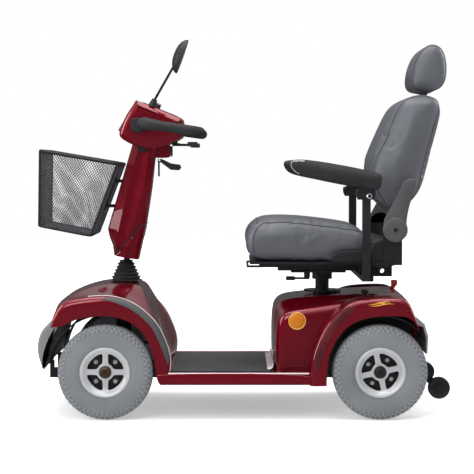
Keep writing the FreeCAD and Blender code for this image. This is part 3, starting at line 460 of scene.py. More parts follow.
def tyre_shape(centre, side):
    """A low-pressure tyre: rounded casing, diamond lugs, a raised bead ring and a moulded sidewall band."""
    casing = soften([
        (RIM_RADIUS - 2, 28), (84, 38), (98, 43), (118, 44), (134, 41), (143.6, 32), (145.7, 14),
        (145.7, 0),
    ], 3, False)
    half = spaced(casing, 40, closed=False)
    lengths = np.concatenate([[0], np.cumsum(np.linalg.norm(np.diff(half, axis=0), axis=1))])
    travel = lengths[-1] - lengths
    profile = [(r, a, t) for (r, a), t in zip(half, travel)]
    profile += [(r, -a, t) for r, a, t in profile[-2::-1]]
    out = side_normals(half, closed=False)
    if out[0][1] < 0:
        out = -out
    outward = list(out) + [(x, -y) for x, y in out[-2::-1]]
    steps = LUGS * 8
    rows = []
    for (radius, across, along), (up, over) in zip(profile, outward):
        ring = []
        band = 1.3 * math.exp(-((radius - 92) / 1.8) ** 2) + 0.8 * math.exp(-((radius - 121) / 1.5) ** 2)
        for i in range(steps):
            turn = 2 * math.pi * i / steps
            height = tread_height(turn, along, radius) + band
            size = radius + up * height
            ring.append((
                centre[0] + size * math.cos(turn),
                centre[1] + side * (across + over * height),
                centre[2] + size * math.sin(turn),
            ))
        rows.append(ring)
    return grid(rows, around=True, over=True)


def window_outline():
    """One opening between two spokes: an outer arc, and straight sides that curve in round the hub."""
    half = [(27, 0), (26.6, 6), (25, 12), (31, 19), (38, 26), (46.5, 34.5), (50.5, 30.5), (55.5, 20),
            (58.5, 0)]
    corners = half + [(radial, -across) for radial, across in half[-2:0:-1]]
    return spaced(soften(corners, 2), 48)


def wheel_disc(name, centre, side, lean):
    """The cast face: a dished disc with four windows."""
    face = [(12, 20), (22, 21), (34, 19), (48, 17), (60, 20), (66, 27), (76, 31), (76, 28), (67, 22),
            (60, 13), (46, 9), (30, 10), (12, 10)]
    axis = (0, side, 0)
    disc = make(name, lathe(face, centre, axis, segments=96), ALLOY, sharp=30)
    cutters = []
    for quarter in range(4):
        turn = math.radians(45 + lean) + quarter * math.pi / 2
        ring = []
        for radial, across in window_outline():
            x = radial * math.cos(turn) - across * math.sin(turn)
            z = radial * math.sin(turn) + across * math.cos(turn)
            ring.append((centre[0] + x, centre[2] + z))
        cutters.append(make("cutter", prism(ring, centre[1] - 40, centre[1] + 40), ALLOY))
    carve(disc, cutters)
    round_edges(disc, 1.2, segments=2)
    smooth(disc, 35)
    return disc


def make_wheel(end, side_name):
    side = SIDES[side_name]
    body = f"{end}_{side_name}_wheel"
    label = f"{end}_{side_name}"
    lean = 0 if end == "front" else 12
    centre = (ENDS[end], side * WHEEL_PLACE, AXLE_HEIGHT)
    axis = (0, side, 0)
    piece(
        f"{label}_tyre_skin", tyre_shape(centre, side), TYRE,
        body, "grey_tyre", f"{label}_tyre", sharp=180,
    )
    disc = wheel_disc(f"{label}_wheel_face", centre, side, lean)
    belongs(disc, body, "cast_alloy", f"{label}_rim")
    barrel = [(75.5, 33), (75.5, -33), (66, -33), (62, -20), (60, 0), (62, 12), (68, 24), (71, 33)]
    piece(f"{label}_wheel_barrel", lathe(barrel, centre, axis, 96), PLASTIC, body, "black_plastic")
    lip = soften([(79, 30), (80, 35), (75, 37), (69, 35), (67, 31), (70, 28)], 2)
    piece(f"{label}_wheel_lip", lathe(lip, centre, axis, 96), ALLOY, body, "cast_alloy")
    hub = [(9, -24), (62, -24), (62, -1), (27, 1), (25, 12), (9, 12)]
    piece(f"{label}_wheel_hub", lathe(hub, centre, axis, 48), FRAME_PAINT, body, "painted_frame")
    cap_look = BRASS if end == "front" else PLASTIC
    cap = [(0.2, 31), (7, 31), (8.5, 33.5), (12, 33.5), (14, 31.5), (16.5, 31), (19, 27), (20, 20),
           (20, 12), (0.2, 12)]
    cap_shape = lathe(cap, centre, axis, 48, closed=False)
    piece(f"{label}_hub_cap", cap_shape, cap_look, body, "black_plastic")
    heads = []
    for quarter in range(4):
        turn = math.radians(45 + lean) + quarter * math.pi / 2
        spot = (
            centre[0] + BOLT_CIRCLE * math.cos(turn), centre[1], centre[2] + BOLT_CIRCLE * math.sin(turn),
        )
        head = [(0.2, 11), (4, 11), (5.5, 9), (5.5, 4), (7.5, 4), (7.5, -2), (0.2, -2)]
        heads.append(lathe(head, spot, axis, 6 if end == "rear" else 12, closed=False))
    piece(f"{label}_wheel_bolts", joined(heads), STEEL, body, "bright_steel", sharp=20)


# ---------------------------------------------------------------- body panels

PANEL = 3.5  # moulded panel thickness


class Panel:
    """One side of a moulded body panel between three matched lines: arch lip, shoulder and crest."""

    def __init__(self, stations, half, edge, plateau, count=120):
        lines = []
        for line in zip(*stations):
            curve = soften(line, 2, False)
            places = np.linspace(0, len(curve) - 1, count)
            known = np.arange(len(curve))
            lines.append(np.column_stack([np.interp(places, known, curve[:, i]) for i in range(2)]))
        self.lip, self.shoulder, self.crest = lines
        self.half, self.plateau = half, plateau
        self.normal = side_normals(self.shoulder, closed=False)
        if np.sum(self.normal * (self.shoulder - self.lip)) < 0:
            self.normal = -self.normal
        reach = np.linalg.norm(self.shoulder - self.lip, axis=1)
        self.edge = np.minimum(edge, 0.45 * reach)[:, None]

    def beside(self, travel, lift):
        """Points travel millimetres over the rounded edge, or down the flat side if that is negative."""
        curved = self.turned(np.maximum(travel, 0) / self.edge[:, 0], lift)
        down = -self.normal * np.maximum(-travel, 0)[:, None]
        return curved + np.column_stack([down[:, 0], np.zeros(len(down)), down[:, 1]])

    def turned(self, turn, lift=0.0):
        """The rounded edge: turn 0 is where the flat side ends and a right angle is the shoulder itself."""
        turn = np.broadcast_to(turn, (len(self.lip),))[:, None]
        flat = self.shoulder - self.normal * (self.edge * (1 - np.sin(turn)) - lift * np.sin(turn))
        across = self.half - self.edge * (1 - np.cos(turn)) + lift * np.cos(turn)
        return np.column_stack([flat[:, 0], across[:, 0], flat[:, 1]])

    def rows(self, inner=0.0):
        """Rows from the lip up the side, round the edge and over the top to inner."""
        low = self.shoulder - self.normal * self.edge
        rows = []
        for k in range(12):
            share = k / 12
            flat = self.lip * (1 - share) + low * share
            across = self.half - 5.0 * (1 - share) ** 2
            rows.append(np.column_stack([flat[:, 0], np.full(len(flat), across), flat[:, 1]]))
        rows += [self.turned(math.pi / 2 * k / 8) for k in range(9)]
        start = rows[-1]
        slopes = 12
        for k in range(1, slopes + 1):
            share = k / slopes
            blend = share * share * (3 - 2 * share)
            across = start[:, 1] * (1 - share) + max(self.plateau, inner) * share
            flat = self.shoulder * (1 - blend) + self.crest * blend
            rows.append(np.column_stack([flat[:, 0], across, flat[:, 1]]))
        if self.plateau > inner:
            for k in range(1, 9):
                across = self.plateau + (inner - self.plateau) * k / 8
                level = np.full(len(self.crest), across)
                rows.append(np.column_stack([self.crest[:, 0], level, self.crest[:, 1]]))
        return rows

    def ribbon(self, first, last, start, end, lift):
        """A strip from first to last millimetres over the edge, tapered to its ends."""
        places = np.linspace(0, 1, len(self.lip))
        nearest_end = np.minimum(places - start, end - places) / (end - start)
        width = np.clip(nearest_end / 0.2, 0.02, 1) ** 0.6 * (last - first)
        low, high = (int(len(self.lip) * share) for share in (start, end))
        return [self.beside((first + last) / 2 + width * (k / 10 - 0.5), lift)[low:high] for k in range(11)]

    def line(self, turn, start, end, lift=0.0):
        low, high = (int(len(self.lip) * share) for share in (start, end))
        return self.turned(turn, lift)[low:high]


def mirrored(rows):
    """Rows from one side to the middle, carried over to the other side."""
    return rows + [row * np.array([1, -1, 1]) for row in reversed(rows[:-1])]


def sided(rows, side):
    return [np.asarray(row) * np.array([1, side, 1]) for row in rows]


def drill(name, centre, radius, low, high):
    """A round cutter standing along Z."""
    shape = lathe([(radius, low), (radius, high)], (centre[0], centre[1], 0), (0, 0, 1), 64, closed=False)
    return make(name, shape, RED)


COWL = [  # arch lip, fender shoulder, crest of the dome
    ((-600, 291), (-604, 292), (-613, 292)),
    ((-590, 291), (-602, 316), (-610, 325)),
    ((-575, 293), (-588, 350), (-600, 353)),
    ((-560, 300), (-562, 375), (-575, 374)),
    ((-530, 314), (-508, 385), (-530, 395)),
    ((-490, 324), (-458, 390), (-480, 410)),
    ((-440, 328), (-412, 389), (-435, 416)),
    ((-400, 323), (-368, 377), (-388, 417)),
    ((-363, 311), (-332, 358), (-345, 413)),
    ((-326, 286), (-300, 332), (-322, 400)),
    ((-304, 255), (-272, 302), (-306, 360)),
    ((-290, 220), (-248, 255), (-292, 315)),
    ((-281, 185), (-233, 212), (-265, 240)),
    ((-277, 160), (-229, 178), (-250, 190)),
    ((-275, 138), (-236, 139), (-236, 139)),
]


def make_cowl():
    panel = Panel(COWL, 288, 20, 105)
    cowl = thicken(make("cowl_skin", grid(mirrored(panel.rows())), RED), PANEL)
    carve(cowl, [drill("cutter", (COLUMN_X, 0), 45, 380, 450)])
    smooth(cowl)
    belongs(cowl, "chassis", "red_paint", "front_cowl")
    strips, highlight_beads = [], []
    for side in SIDES.values():
        strips.append(grid(sided(panel.ribbon(1, 23, 0.37, 0.965, 0.5), side)))
        # the bead along the top of the shoulder's rounded edge is a painted highlight on the red paint
        highlight_beads.append(tube(sided([panel.line(math.pi / 2, 0.3, 0.995, 0.4)], side)[0], 1.7, 8))
    trim = thicken(make("cowl_trim_strip", joined(strips), TRIM), 1.6, offset=1.0)
    smooth(trim)
    belongs(trim, "chassis", "dark_trim", "cowl_trim")
    piece("cowl_highlight_bead", joined(highlight_beads), PAINTED_HIGHLIGHT, "chassis", "red_paint")


TUB = [  # lower edge and arch, shoulder, crest
    ((108, 114), (104, 114), (97, 114)),
    ((125, 114), (103, 160), (96, 160)),
    ((145, 114), (102, 205), (95, 205)),
    ((165, 114), (103, 262), (95, 270)),
    ((185, 114), (108, 312), (98, 320)),
    ((205, 114), (128, 336), (106, 347)),
    ((225, 122), (160, 344), (130, 366)),
    ((245, 150), (210, 351), (185, 374)),
    ((258, 200), (270, 360), (250, 378)),
    ((290, 260), (330, 370), (320, 382)),
    ((350, 305), (390, 379), (390, 385)),
    ((428, 328), (450, 384), (450, 387)),
    ((500, 315), (500, 383), (497, 388)),
    ((530, 296), (522, 364), (520, 378)),
    ((540, 284), (540, 318), (537, 325)),
    ((541, 258), (547, 258), (547, 264)),
    ((541, 232), (549, 205), (549, 205)),
]
WING = [  # arch lip, shoulder, line against the tub
    ((260, 108), (207, 108), (207, 108)),
    ((261, 148), (208, 150), (208, 150)),
    ((266, 195), (214, 200), (214, 201)),
    ((278, 228), (230, 246), (229, 248)),
    ((296, 262), (256, 298), (255, 301)),
    ((322, 292), (296, 343), (295, 347)),
    ((355, 312), (330, 369), (329, 373)),
    ((395, 323), (366, 380), (366, 383)),
    ((440, 328), (420, 385), (420, 387)),
    ((480, 328), (475, 386), (475, 388)),
    ((510, 325), (506, 382), (507, 384)),
    ((527, 315), (523, 364), (524, 366)),
    ((540, 300), (538, 322), (539, 323)),
    ((548, 284), (549, 286), (549, 287)),
]


def make_rear_body():
    tub_panel = Panel(TUB, 226, 28, 120)
    tub = thicken(make("rear_tub_skin", grid(mirrored(tub_panel.rows())), RED), PANEL)
    slot = make("cutter", prism([(455, 360), (515, 360), (515, 430), (455, 430)], 50, 70), RED)
    carve(tub, [drill("cutter", (261, 0), 30.3, 340, 430), slot])
    smooth(tub)
    belongs(tub, "chassis", "red_paint", "rear_body")
    wing_panel = Panel(WING, 298, 18, 0)
    strips = []
    for name, side in SIDES.items():
        rows = sided(wing_panel.rows(inner=222.0), side)
        wing = thicken(make(f"wing_{name}_skin", grid(rows), RED), PANEL)
        smooth(wing)
        belongs(wing, "chassis", "red_paint", "rear_body")
        strips.append(grid(sided(wing_panel.ribbon(-12, 12, 0.05, 0.5, 0.5), side)))
    inlay = thicken(make("wing_inlay", joined(strips), INLAY), 1.4, offset=1.0)
    smooth(inlay)
    belongs(inlay, "chassis", "dark_trim")


def make_rear_arches():
    """Black liners round the rear tyres, which close the wings off from the inside of the tub."""
    section = [(178, 291), (178, 250), (178, 208), (174, 202), (150, 200), (122, 200)]
    turns = np.radians(np.linspace(48, 182, 60))
    for name, side in SIDES.items():
        rows = [[(ENDS["rear"] + r * math.cos(a), side * y, AXLE_HEIGHT + r * math.sin(a)) for a in turns]
                for r, y in section]
        liner = thicken(make(f"rear_arch_{name}", grid(rows), PLASTIC), 2, offset=0)
        belongs(liner, "chassis", "black_plastic")


def make_sills():
    """The floor pan's moulded side skirts with rounded ends, and the pad it rests on when parked up."""
    outline = soften([
        (-275, 147), (-273, 133), (-266, 112), (-250, 111), (-100, 111), (100, 111), (206, 110),
        (212, 118), (212, 147),
    ], 2)
    for name, side in SIDES.items():
        sill = make(f"sill_{name}", prism(outline, *sorted((side * 282, side * 288.5))), RED)
        belongs(round_edges(sill, 2.5, 3), "chassis", "red_paint")
        smooth(sill)
    pad = make("jack_pad", prism([(-152, 101), (-68, 101), (-68, 111), (-152, 111)], -200, 200), PLASTIC)
    belongs(round_edges(pad, 2), "chassis", "black_plastic")


def make_front_bumper():
    """A moulded guard that wraps the nose from corner to corner."""
    outline = spaced(soften([
        (-602, 304), (-622, 296), (-640, 268), (-648, 232), (-644, 196), (-630, 158), (-624, 157),
        (-623, 175), (-622, 200), (-614, 228), (-600, 262), (-580, 292), (-586, 300),
    ], 2), 80)
    half = 284
    rows = []
    for y, depth in both_sides(rounding(half, 9, 6)):
        ring = shrink(outline, depth)
        wrap = 6.0 * (1 - (y / half) ** 2)
        rows.append(np.column_stack([ring[:, 0] - wrap, np.full(len(ring), y), ring[:, 1]]))
    piece("front_guard", capped(rows), BUMPER, "chassis", "bumper_grey", "front_bumper")


def make_reflectors():
    """Round amber reflectors on the tub's sides and red ones on the rear bumper."""
    dome = [(0.2, 5.4), (12, 5.0), (20, 4.0), (24, 2.4), (24.5, 0), (0.2, 0)]
    ring = soften([(24, 0), (24, 4.5), (26, 5.5), (28.5, 4), (28.5, 0)], 2)
    for name, side in SIDES.items():
        centre = (170, side * 224.6, 306)
        axis = (0, side, 0)
        piece(
            f"amber_reflector_{name}", lathe(dome, centre, axis, 48, closed=False), AMBER,
            "chassis", "amber_lens", "reflectors",
        )
        piece(f"amber_ring_{name}", lathe(ring, centre, axis, 48), AMBER_RING, "chassis", "amber_lens")
        tail = [(0.2, 5.2), (14, 4.6), (19, 3), (20, 0), (0.2, 0)]
        rear = lathe(tail, (579, side * 230, 250), (1, 0, 0), 48, closed=False)
        piece(f"red_reflector_{name}", rear, RED_LENS, "chassis", "amber_lens")


def make_floor_mat():
    """A ribbed rubber mat, its cove against the seat tub coloured pale as a painted highlight, and a pale
    bead down each side as a painted highlight on the deck's edge.
    """
    rows = []
    half = 245
    front, back = -232, 86
    count = 270
    for y in np.linspace(-half, half, 25):
        row = []
        for i in range(count):
            x = front + (back - front) * i / (count - 1)
            rib = 1.3 * (0.5 + 0.5 * math.sin(x * 2 * math.pi / 9.0)) if abs(y) < half - 12 else 1.3
            row.append((x, y, 147.2 + rib))
        rows.append(row)
    mat = thicken(make("floor_mat_ribbed", grid(rows), MAT), 2.2)
    smooth(mat, 60)
    belongs(mat, "chassis", "floor_rubber", "floor_mat")
    lip = soften([(76, 149.2), (88, 150.5), (94, 156), (95.5, 166)], 3, False)
    sheet = [[(x, y, z) for x, z in lip] for y in np.linspace(-216, 216, 9)]
    # the cove takes the pale colour: a painted highlight on its curve
    upturn = thicken(make("mat_upturn", grid(sheet), PAINTED_HIGHLIGHT), 2.0)
    belongs(upturn, "chassis", "floor_rubber")
    # pale beads along the deck's top edges: a painted highlight
    edges = []
    for side in SIDES.values():
        edges.append(tube([(x, side * 285, 146.4) for x in np.linspace(-237, 205, 30)], 2.4, 10))
    piece("deck_highlight_bead", joined(edges), PAINTED_HIGHLIGHT, "chassis", "red_paint")


# ---------------------------------------------------------------- tiller and console


BOOT_RADII = (53, 24)  # at the cowl and at the tiller
BOOT_LOW = 419.5
BOOT_RISE = 66


def make_boot():
    """The pleated rubber boot between the cowl and the tiller."""
    low, high = BOOT_RADII
    profile = []
    steps = 66
    for i in range(steps + 1):
        share = i / steps
        radius = low + (high - low) * share
        pleat = 3.6 * math.cos(share * 6 * 2 * math.pi) * (1 - 0.35 * share)
        profile.append((radius - 3 + pleat, BOOT_LOW + BOOT_RISE * share))
    inner = [(radius - 2.4, height) for radius, height in reversed(profile)]
    boot = make("steering_boot", lathe(profile + inner, (COLUMN_X, 0, 0), (0, 0, 1), 72), BOOT, 70)
    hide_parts("tiller_boot")
    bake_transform(boot)


def between(table, height):
    """The value at a height in a short table of (height, value)."""
    return float(np.interp(height, [row[0] for row in table], [row[1] for row in table]))


TILLER_LOW, TILLER_HIGH = 503, 884
# height and place along X
TILLER_FRONT = [(486, -424), (536, -430), (560, -440), (590, -446), (612, -440), (700, -414),
                (863, -366), (884, -360)]
TILLER_REAR = [(486, -352), (520, -342), (566, -329), (612, -319), (729, -301), (820, -291),
               (850, -282), (884, -262)]
FRONT_CREASE = [(486, -416), (540, -420), (700, -384), (884, -336)]
REAR_CREASE = [(486, -392), (560, -384), (620, -356), (729, -326), (884, -300)]
POD_TOP = [(-420, 505), (-395, 528), (-372, 560), (-345, 590), (-320, 604)]  # arc over the lower rear pod


def make_tiller():
    """One faceted cover: a narrow front, two creases down each side and a raised pod low at the back."""
    rows = []
    for level in np.linspace(0, 1, 100):
        height = TILLER_LOW + (TILLER_HIGH - TILLER_LOW) * level
        front, rear = between(TILLER_FRONT, height), between(TILLER_REAR, height)
        first, second = between(FRONT_CREASE, height), between(REAR_CREASE, height)
        ring = [
            (front, 0), (front, 24), (front + 5, 32), (first, 55), ((first + second) / 2, 53),
            (second, 58.5), (rear - 12, 50), (rear - 2, 40), (rear, 30), (rear, 0),
        ]
        line = []
        for (x0, y0), (x1, y1) in zip(ring[:-1], ring[1:]):
            line += [(x0 + (x1 - x0) * k / 6, y0 + (y1 - y0) * k / 6) for k in range(6)]
        line.append(ring[-1])
        full = line + [(x, -y) for x, y in line[-2:0:-1]]
        droop = 14 * max(0.0, 1 - level / 0.12)
        row = []
        for x, y in full:
            share = (x - front) / (rear - front)
            z = height - droop * share
            arc = np.interp(x, [p[0] for p in POD_TOP], [p[1] for p in POD_TOP])
            proud = 2.6 * min(1.0, max(0.0, (arc - z) / 5)) if x > -420 else 0.0
            out = 1 + proud / 56
            row.append((x + proud * max(0.0, share - 0.6), y * out, z))
        rows.append(row)
    piece(
        "tiller_skin", capped(rows), RED,
        "tiller", "red_paint", "tiller_front_cover", "tiller_rear_cover", sharp=14,
    )
    groove = []
    for side in SIDES.values():
        line = [(x, side * 57.5, z + 3.5) for x, z in spaced(soften(POD_TOP, 2, False), 40, closed=False)]
        groove.append(tube(line, 2.2, 8))
    piece("tiller_pod_groove", joined(groove), PLASTIC, "tiller", "dark_trim")


def make_console():
    """The control head: a chamfered block with a chin that runs down to the tiller."""
    head = spaced(soften([
        (-404, 895), (-403, 912), (-382, 962), (-350, 1006), (-340, 1009), (-212, 957), (-198, 950),
        (-196, 940), (-196, 896), (-203, 886), (-236, 868), (-290, 850), (-310, 850), (-366, 866),
        (-396, 884),
    ], 2), 170)
    stations = both_sides([(0, 0), (60, 0.2), (80, 0.6), (86, 2.0), (91, 6), (95, 11), (98, 18)])
    chin = lambda x, z: 1.0 + max(0.0, min(1.4, (893 - z) / 20))
    piece(
        "console_head", pillow(head, stations, chin), RED,
        "tiller", "red_paint", "console_housing", sharp=22,
    )
    box = [(-301, 878), (-301, 828), (-294, 823), (-247, 823), (-241, 829), (-241, 880)]
    box = spaced(soften(box, 2), 60)
    piece("socket_box", pillow(box, both_sides(rounding(26, 5))), RED, "tiller", "red_paint")
    insert = [(-350, 878), (-348, 850), (-336, 842), (-318, 842), (-310, 852), (-308, 878)]
    insert = pillow(spaced(soften(insert, 2), 60), both_sides(rounding(64, 5)))
    piece("column_clamp", insert, PLASTIC, "tiller", "black_plastic")
    socket = [(-366, 910), (-366, 946), (-352, 953), (-316, 948), (-310, 928), (-318, 907), (-350, 903)]
    socket = soften(socket, 2)
    for name, side in SIDES.items():
        block = make(f"bar_socket_{name}", prism(socket, *sorted((side * 88, side * 106))), PLASTIC)
        belongs(round_edges(block, 3), "tiller", "black_plastic")


def make_handlebar():
    """A closed moulded loop, thick at its front corners and slimmer where the hands hold it."""
    low, high = (Vector(c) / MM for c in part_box("handlebar"))
    radius = 17
    front, back, half = low.x + radius, high.x - radius, high.y - radius
    slope = (high.z - low.z - 2 * radius) / (back - front)
    reach = (back - front) / 2
    corners = [
        (front, -half), (front + reach, -half), (back, -half), (back, -half / 2), (back, half / 2),
        (back, half), (front + reach, half), (front, half), (front, half / 2), (front, -half / 2),
    ]
    loop = spaced(soften(corners, 3), 180)
    path = [(x, y, high.z - radius - (x - front) * slope) for x, y in loop]
    thick = [16.4 + 4.6 * max(0.0, 1 - (x - front) / 60) for x, _ in loop]
    piece(
        "handlebar_loop", tube(path, thick, 24, closed=True), SOFT_BLACK,
        "tiller", "black_plastic", "handlebar",
    )


# ---------------------------------------------------------------- basket

# front top, rear top, rear bottom, front bottom
BASKET = [(-651, 845), (-404, 803), (-491, 573), (-655, 605)]
BASKET_HALF = 165
WIRE_RADIUS = 0.8


def wire_panel(corners, columns, rows):
    """Diagonal wires woven over the panel between four corners."""
    a, b, c, d = (np.array(p, float) for p in corners)

    def at(u, v):
        return (a * (1 - u) + b * u) * (1 - v) + (d * (1 - u) + c * u) * v

    wires = []
    for lean in (1, -1):
        for start in range(-rows, columns + rows + 1):
            ends = []
            for v in np.linspace(0, 1, rows * 4 + 1):
                u = (start + lean * v * rows) / columns
                if -1e-6 <= u <= 1 + 1e-6:
                    ends.append(at(u, v))
            if len(ends) > 2:
                wires.append(tube([ends[0], ends[len(ends) // 2], ends[-1]], WIRE_RADIUS, 4))
    return wires


def make_basket():
    front_top, rear_top, rear_low, front_low = BASKET
    half = BASKET_HALF - 3

    def corner(point, side):
        return (point[0], side * half, point[1])

    wires = []
    for side in (-1, 1):
        wires += wire_panel([corner(p, side) for p in (front_top, rear_top, rear_low, front_low)], 28, 22)
    panels = ((front_top, front_low, 22), (rear_top, rear_low, 22), (front_low, rear_low, 17))
    for first, second, count in panels:
        panel = [corner(first, -1), corner(first, 1), corner(second, 1), corner(second, -1)]
        wires += wire_panel(panel, 36, count)
    piece("basket_mesh", joined(wires), WIRE, "basket", "mesh_wire", "basket")
    rails = []
    for points, size in (((front_top, rear_top), 5.5), ((front_low, rear_low), 4.0)):
        loop = [corner(points[0], -1), corner(points[1], -1), corner(points[1], 1), corner(points[0], 1)]
        rails.append(tube(spaced(soften(dense(loop, 30), 2), 90), size, 10, closed=True))
    for top, low in ((front_top, front_low), (rear_top, rear_low)):
        for side in (-1, 1):
            rails.append(tube([corner(top, side), corner(low, side)], 3.6, 8))
    piece("basket_frame", joined(rails), PLASTIC, "basket", "mesh_wire")


def dense(loop, reach):
    """A closed loop with points reach away from each corner, which keep its runs straight when softened."""
    points = [np.array(p, float) for p in loop]
    result = []
    for before, here, after in zip(points[-1:] + points[:-1], points, points[1:] + points[:1]):
        back = (before - here) / np.linalg.norm(before - here)
        ahead = (after - here) / np.linalg.norm(after - here)
        result += [here + back * reach, here, here + ahead * reach]
    return result


# ---------------------------------------------------------------- seat and cushions

VOXEL = 5.5


def inflate(obj, cap):
    """Swells a padded shape, as foam under vinyl, by a short cloth simulation: at most cap millimetres."""
    remesh = obj.modifiers.new("remesh", "REMESH")
    remesh.mode = "VOXEL"
    remesh.voxel_size = VOXEL * MM
    settle(obj)
    rest = np.array([v.co for v in obj.data.vertices])
    cloth = obj.modifiers.new("cloth", "CLOTH")
    cloth.settings.use_pressure = True
    cloth.settings.uniform_pressure_force = 4.0
    cloth.settings.effector_weights.gravity = 0.0
    for number in range(1, 21):
        bpy.context.scene.frame_set(number)
    seen = obj.evaluated_get(bpy.context.evaluated_depsgraph_get())
    moved = np.array([v.co for v in seen.data.vertices])
    obj.modifiers.clear()
    bpy.context.scene.frame_set(1)
    step = moved - rest
    length = np.linalg.norm(step, axis=1)
    scale = np.minimum(1.0, cap * MM / np.maximum(length, 1e-9))
    obj.data.vertices.foreach_set("co", (rest + step * scale[:, None]).ravel())
    even = obj.modifiers.new("even", "SMOOTH")
    even.iterations = 6
    finer = obj.modifiers.new("finer", "SUBSURF")
    finer.levels = 1
    finer.render_levels = 1
    settle(obj)
    smooth(obj, 180)
    return obj


def piping(name, target, paths, radius, body, lift=0.2):
    """Piping that follows the target's surface along loops of points in millimetres."""
    tree = surface_tree(target)
    cords = []
    for path, closed in paths:
        laid = []
        for point in spaced(path, 140, closed):
            spot, normal, _, _ = tree.find_nearest(Vector(point) * MM)
            laid.append((spot + normal * lift * MM) / MM)
        laid = spaced(np.array([p[:] for p in laid]), 140, closed)
        for _ in range(3):
            laid[1:-1] = (laid[:-2] + laid[1:-1] * 2 + laid[2:]) / 4
        cords.append(tube(laid, radius, 8, closed=closed))
    return piece(name, joined(cords), SEAM, body, "grey_vinyl")


def make_cushion(name, outline, half, round_off, swell, body, node, look=VINYL, slot="grey_vinyl",
                 centre=0.0):
    """A crowned cushion: the outline drawn in towards its sides, then swollen."""
    line = spaced(soften(outline, 2), 120)
    start = shrink(line, swell * 0.7)
    stations = both_sides(rounding(half - swell * 0.7, round_off, 7))
    points, faces = pillow(start, stations)
    points = points + np.array([0, centre, 0])
    cushion = inflate(make(name, (points, faces), look), swell)
    belongs(cushion, body, slot, node)
    return cushion


def side_loop(outline, y):
    """A cushion's outline at one place across, as a path for its piping."""
    return [(x, y, z) for x, z in spaced(soften(outline, 2), 120)]


SEAT = [
    (15, 503), (-4, 522), (-7, 562), (4, 600), (30, 624), (127, 631), (250, 621), (386, 600),
    (402, 580), (404, 500), (300, 493), (120, 493),
]
BACK = [
    (440, 677), (408, 745), (406, 785), (420, 840), (470, 950), (500, 1005), (525, 1024), (575, 1031),
    (620, 1024), (637, 1002), (614, 905), (574, 745), (545, 680), (505, 650), (469, 638),
]
HEAD = [
    (536, 1052), (541, 1110), (560, 1160), (590, 1192), (622, 1195), (650, 1172), (661, 1120), (657, 1065),
    (630, 1034), (560, 1034),
]
ARM = [
    (168, 765), (146, 782), (138, 802), (141, 815), (160, 819), (190, 819), (332, 795), (415, 777),
    (434, 772), (435, 764), (428, 724), (420, 717), (332, 733), (225, 756),
]
ARM_PLACE = 284  # armrest centre from the middle plane
SEAT_SEAM = [(27, 496), (20, 540), (20, 584), (30, 610), (60, 622), (130, 628), (250, 618), (395, 594)]


def make_seat():
    seat = make_cushion("seat_cushion_pad", SEAT, 232, 42, 9, "seat", "seat_cushion")
    seams = []
    for side in (-1, 1):
        front = [(x, side * 240, z) for x, z in SEAT_SEAM[:4]]
        top = [(x, side * 212, z + 12) for x, z in SEAT_SEAM[4:]]
        seams.append((front + top, False))
    seams.append(([(32, y, 640) for y in (-205, -100, 0, 100, 205)], False))
    piping("seat_cushion_piping", seat, seams, 1.8, "seat")
    back = make_cushion("backrest_pad", BACK, 220, 46, 9, "backrest", "backrest")
    loops = [(side_loop(BACK, side * 182), True) for side in (-1, 1)]
    piping("backrest_piping", back, loops, 1.9, "backrest")
    head = make_cushion("headrest_pad", HEAD, 135, 34, 7, "headrest", "headrest")
    loops = [(side_loop(HEAD, side * 106), True) for side in (-1, 1)]
    piping("headrest_piping", head, loops, 1.7, "headrest")
    posts = [tube([(585, y, 990), (598, y, 1060)], 6, 16) for y in (-55, 55)]
    piece("headrest_posts", joined(posts), FRAME_PAINT, "headrest", "bright_steel")
    for name, side in SIDES.items():
        node = f"armrest_{name}"
        centre = side * ARM_PLACE
        pad = make_cushion(
            f"{node}_pad", ARM, 31, 15, 3, node, node, SOFT_BLACK, "soft_black",
            centre=centre,
        )
        outline = soften([(350, 728), (350, 702), (360, 691), (402, 691), (410, 702), (410, 728)], 1)
        bracket = make(f"{node}_bracket", prism(outline, centre - 16, centre + 16), FRAME_PAINT)
        belongs(round_edges(bracket, 2), node, "painted_frame")
        bolt = [(0.2, 21), (6, 20.5), (8.5, 18), (8.5, 14), (0.2, 14)]
        shape = lathe(bolt, (391, centre, 703), (0, side, 0), 24, closed=False)
        piece(f"{node}_pivot", shape, STEEL, node, "bright_steel")
        tip = [(190, 824), (160, 824), (141, 819), (134, 802), (142, 780), (168, 760)]
        path = [(x, centre + side * 36, z) for x, z in soften(tip, 2, False)]
        edge = piping(f"{node}_edge", pad, [(path, False)], 1.4, node, lift=1.2)
        edge.data.materials[0] = STEEL


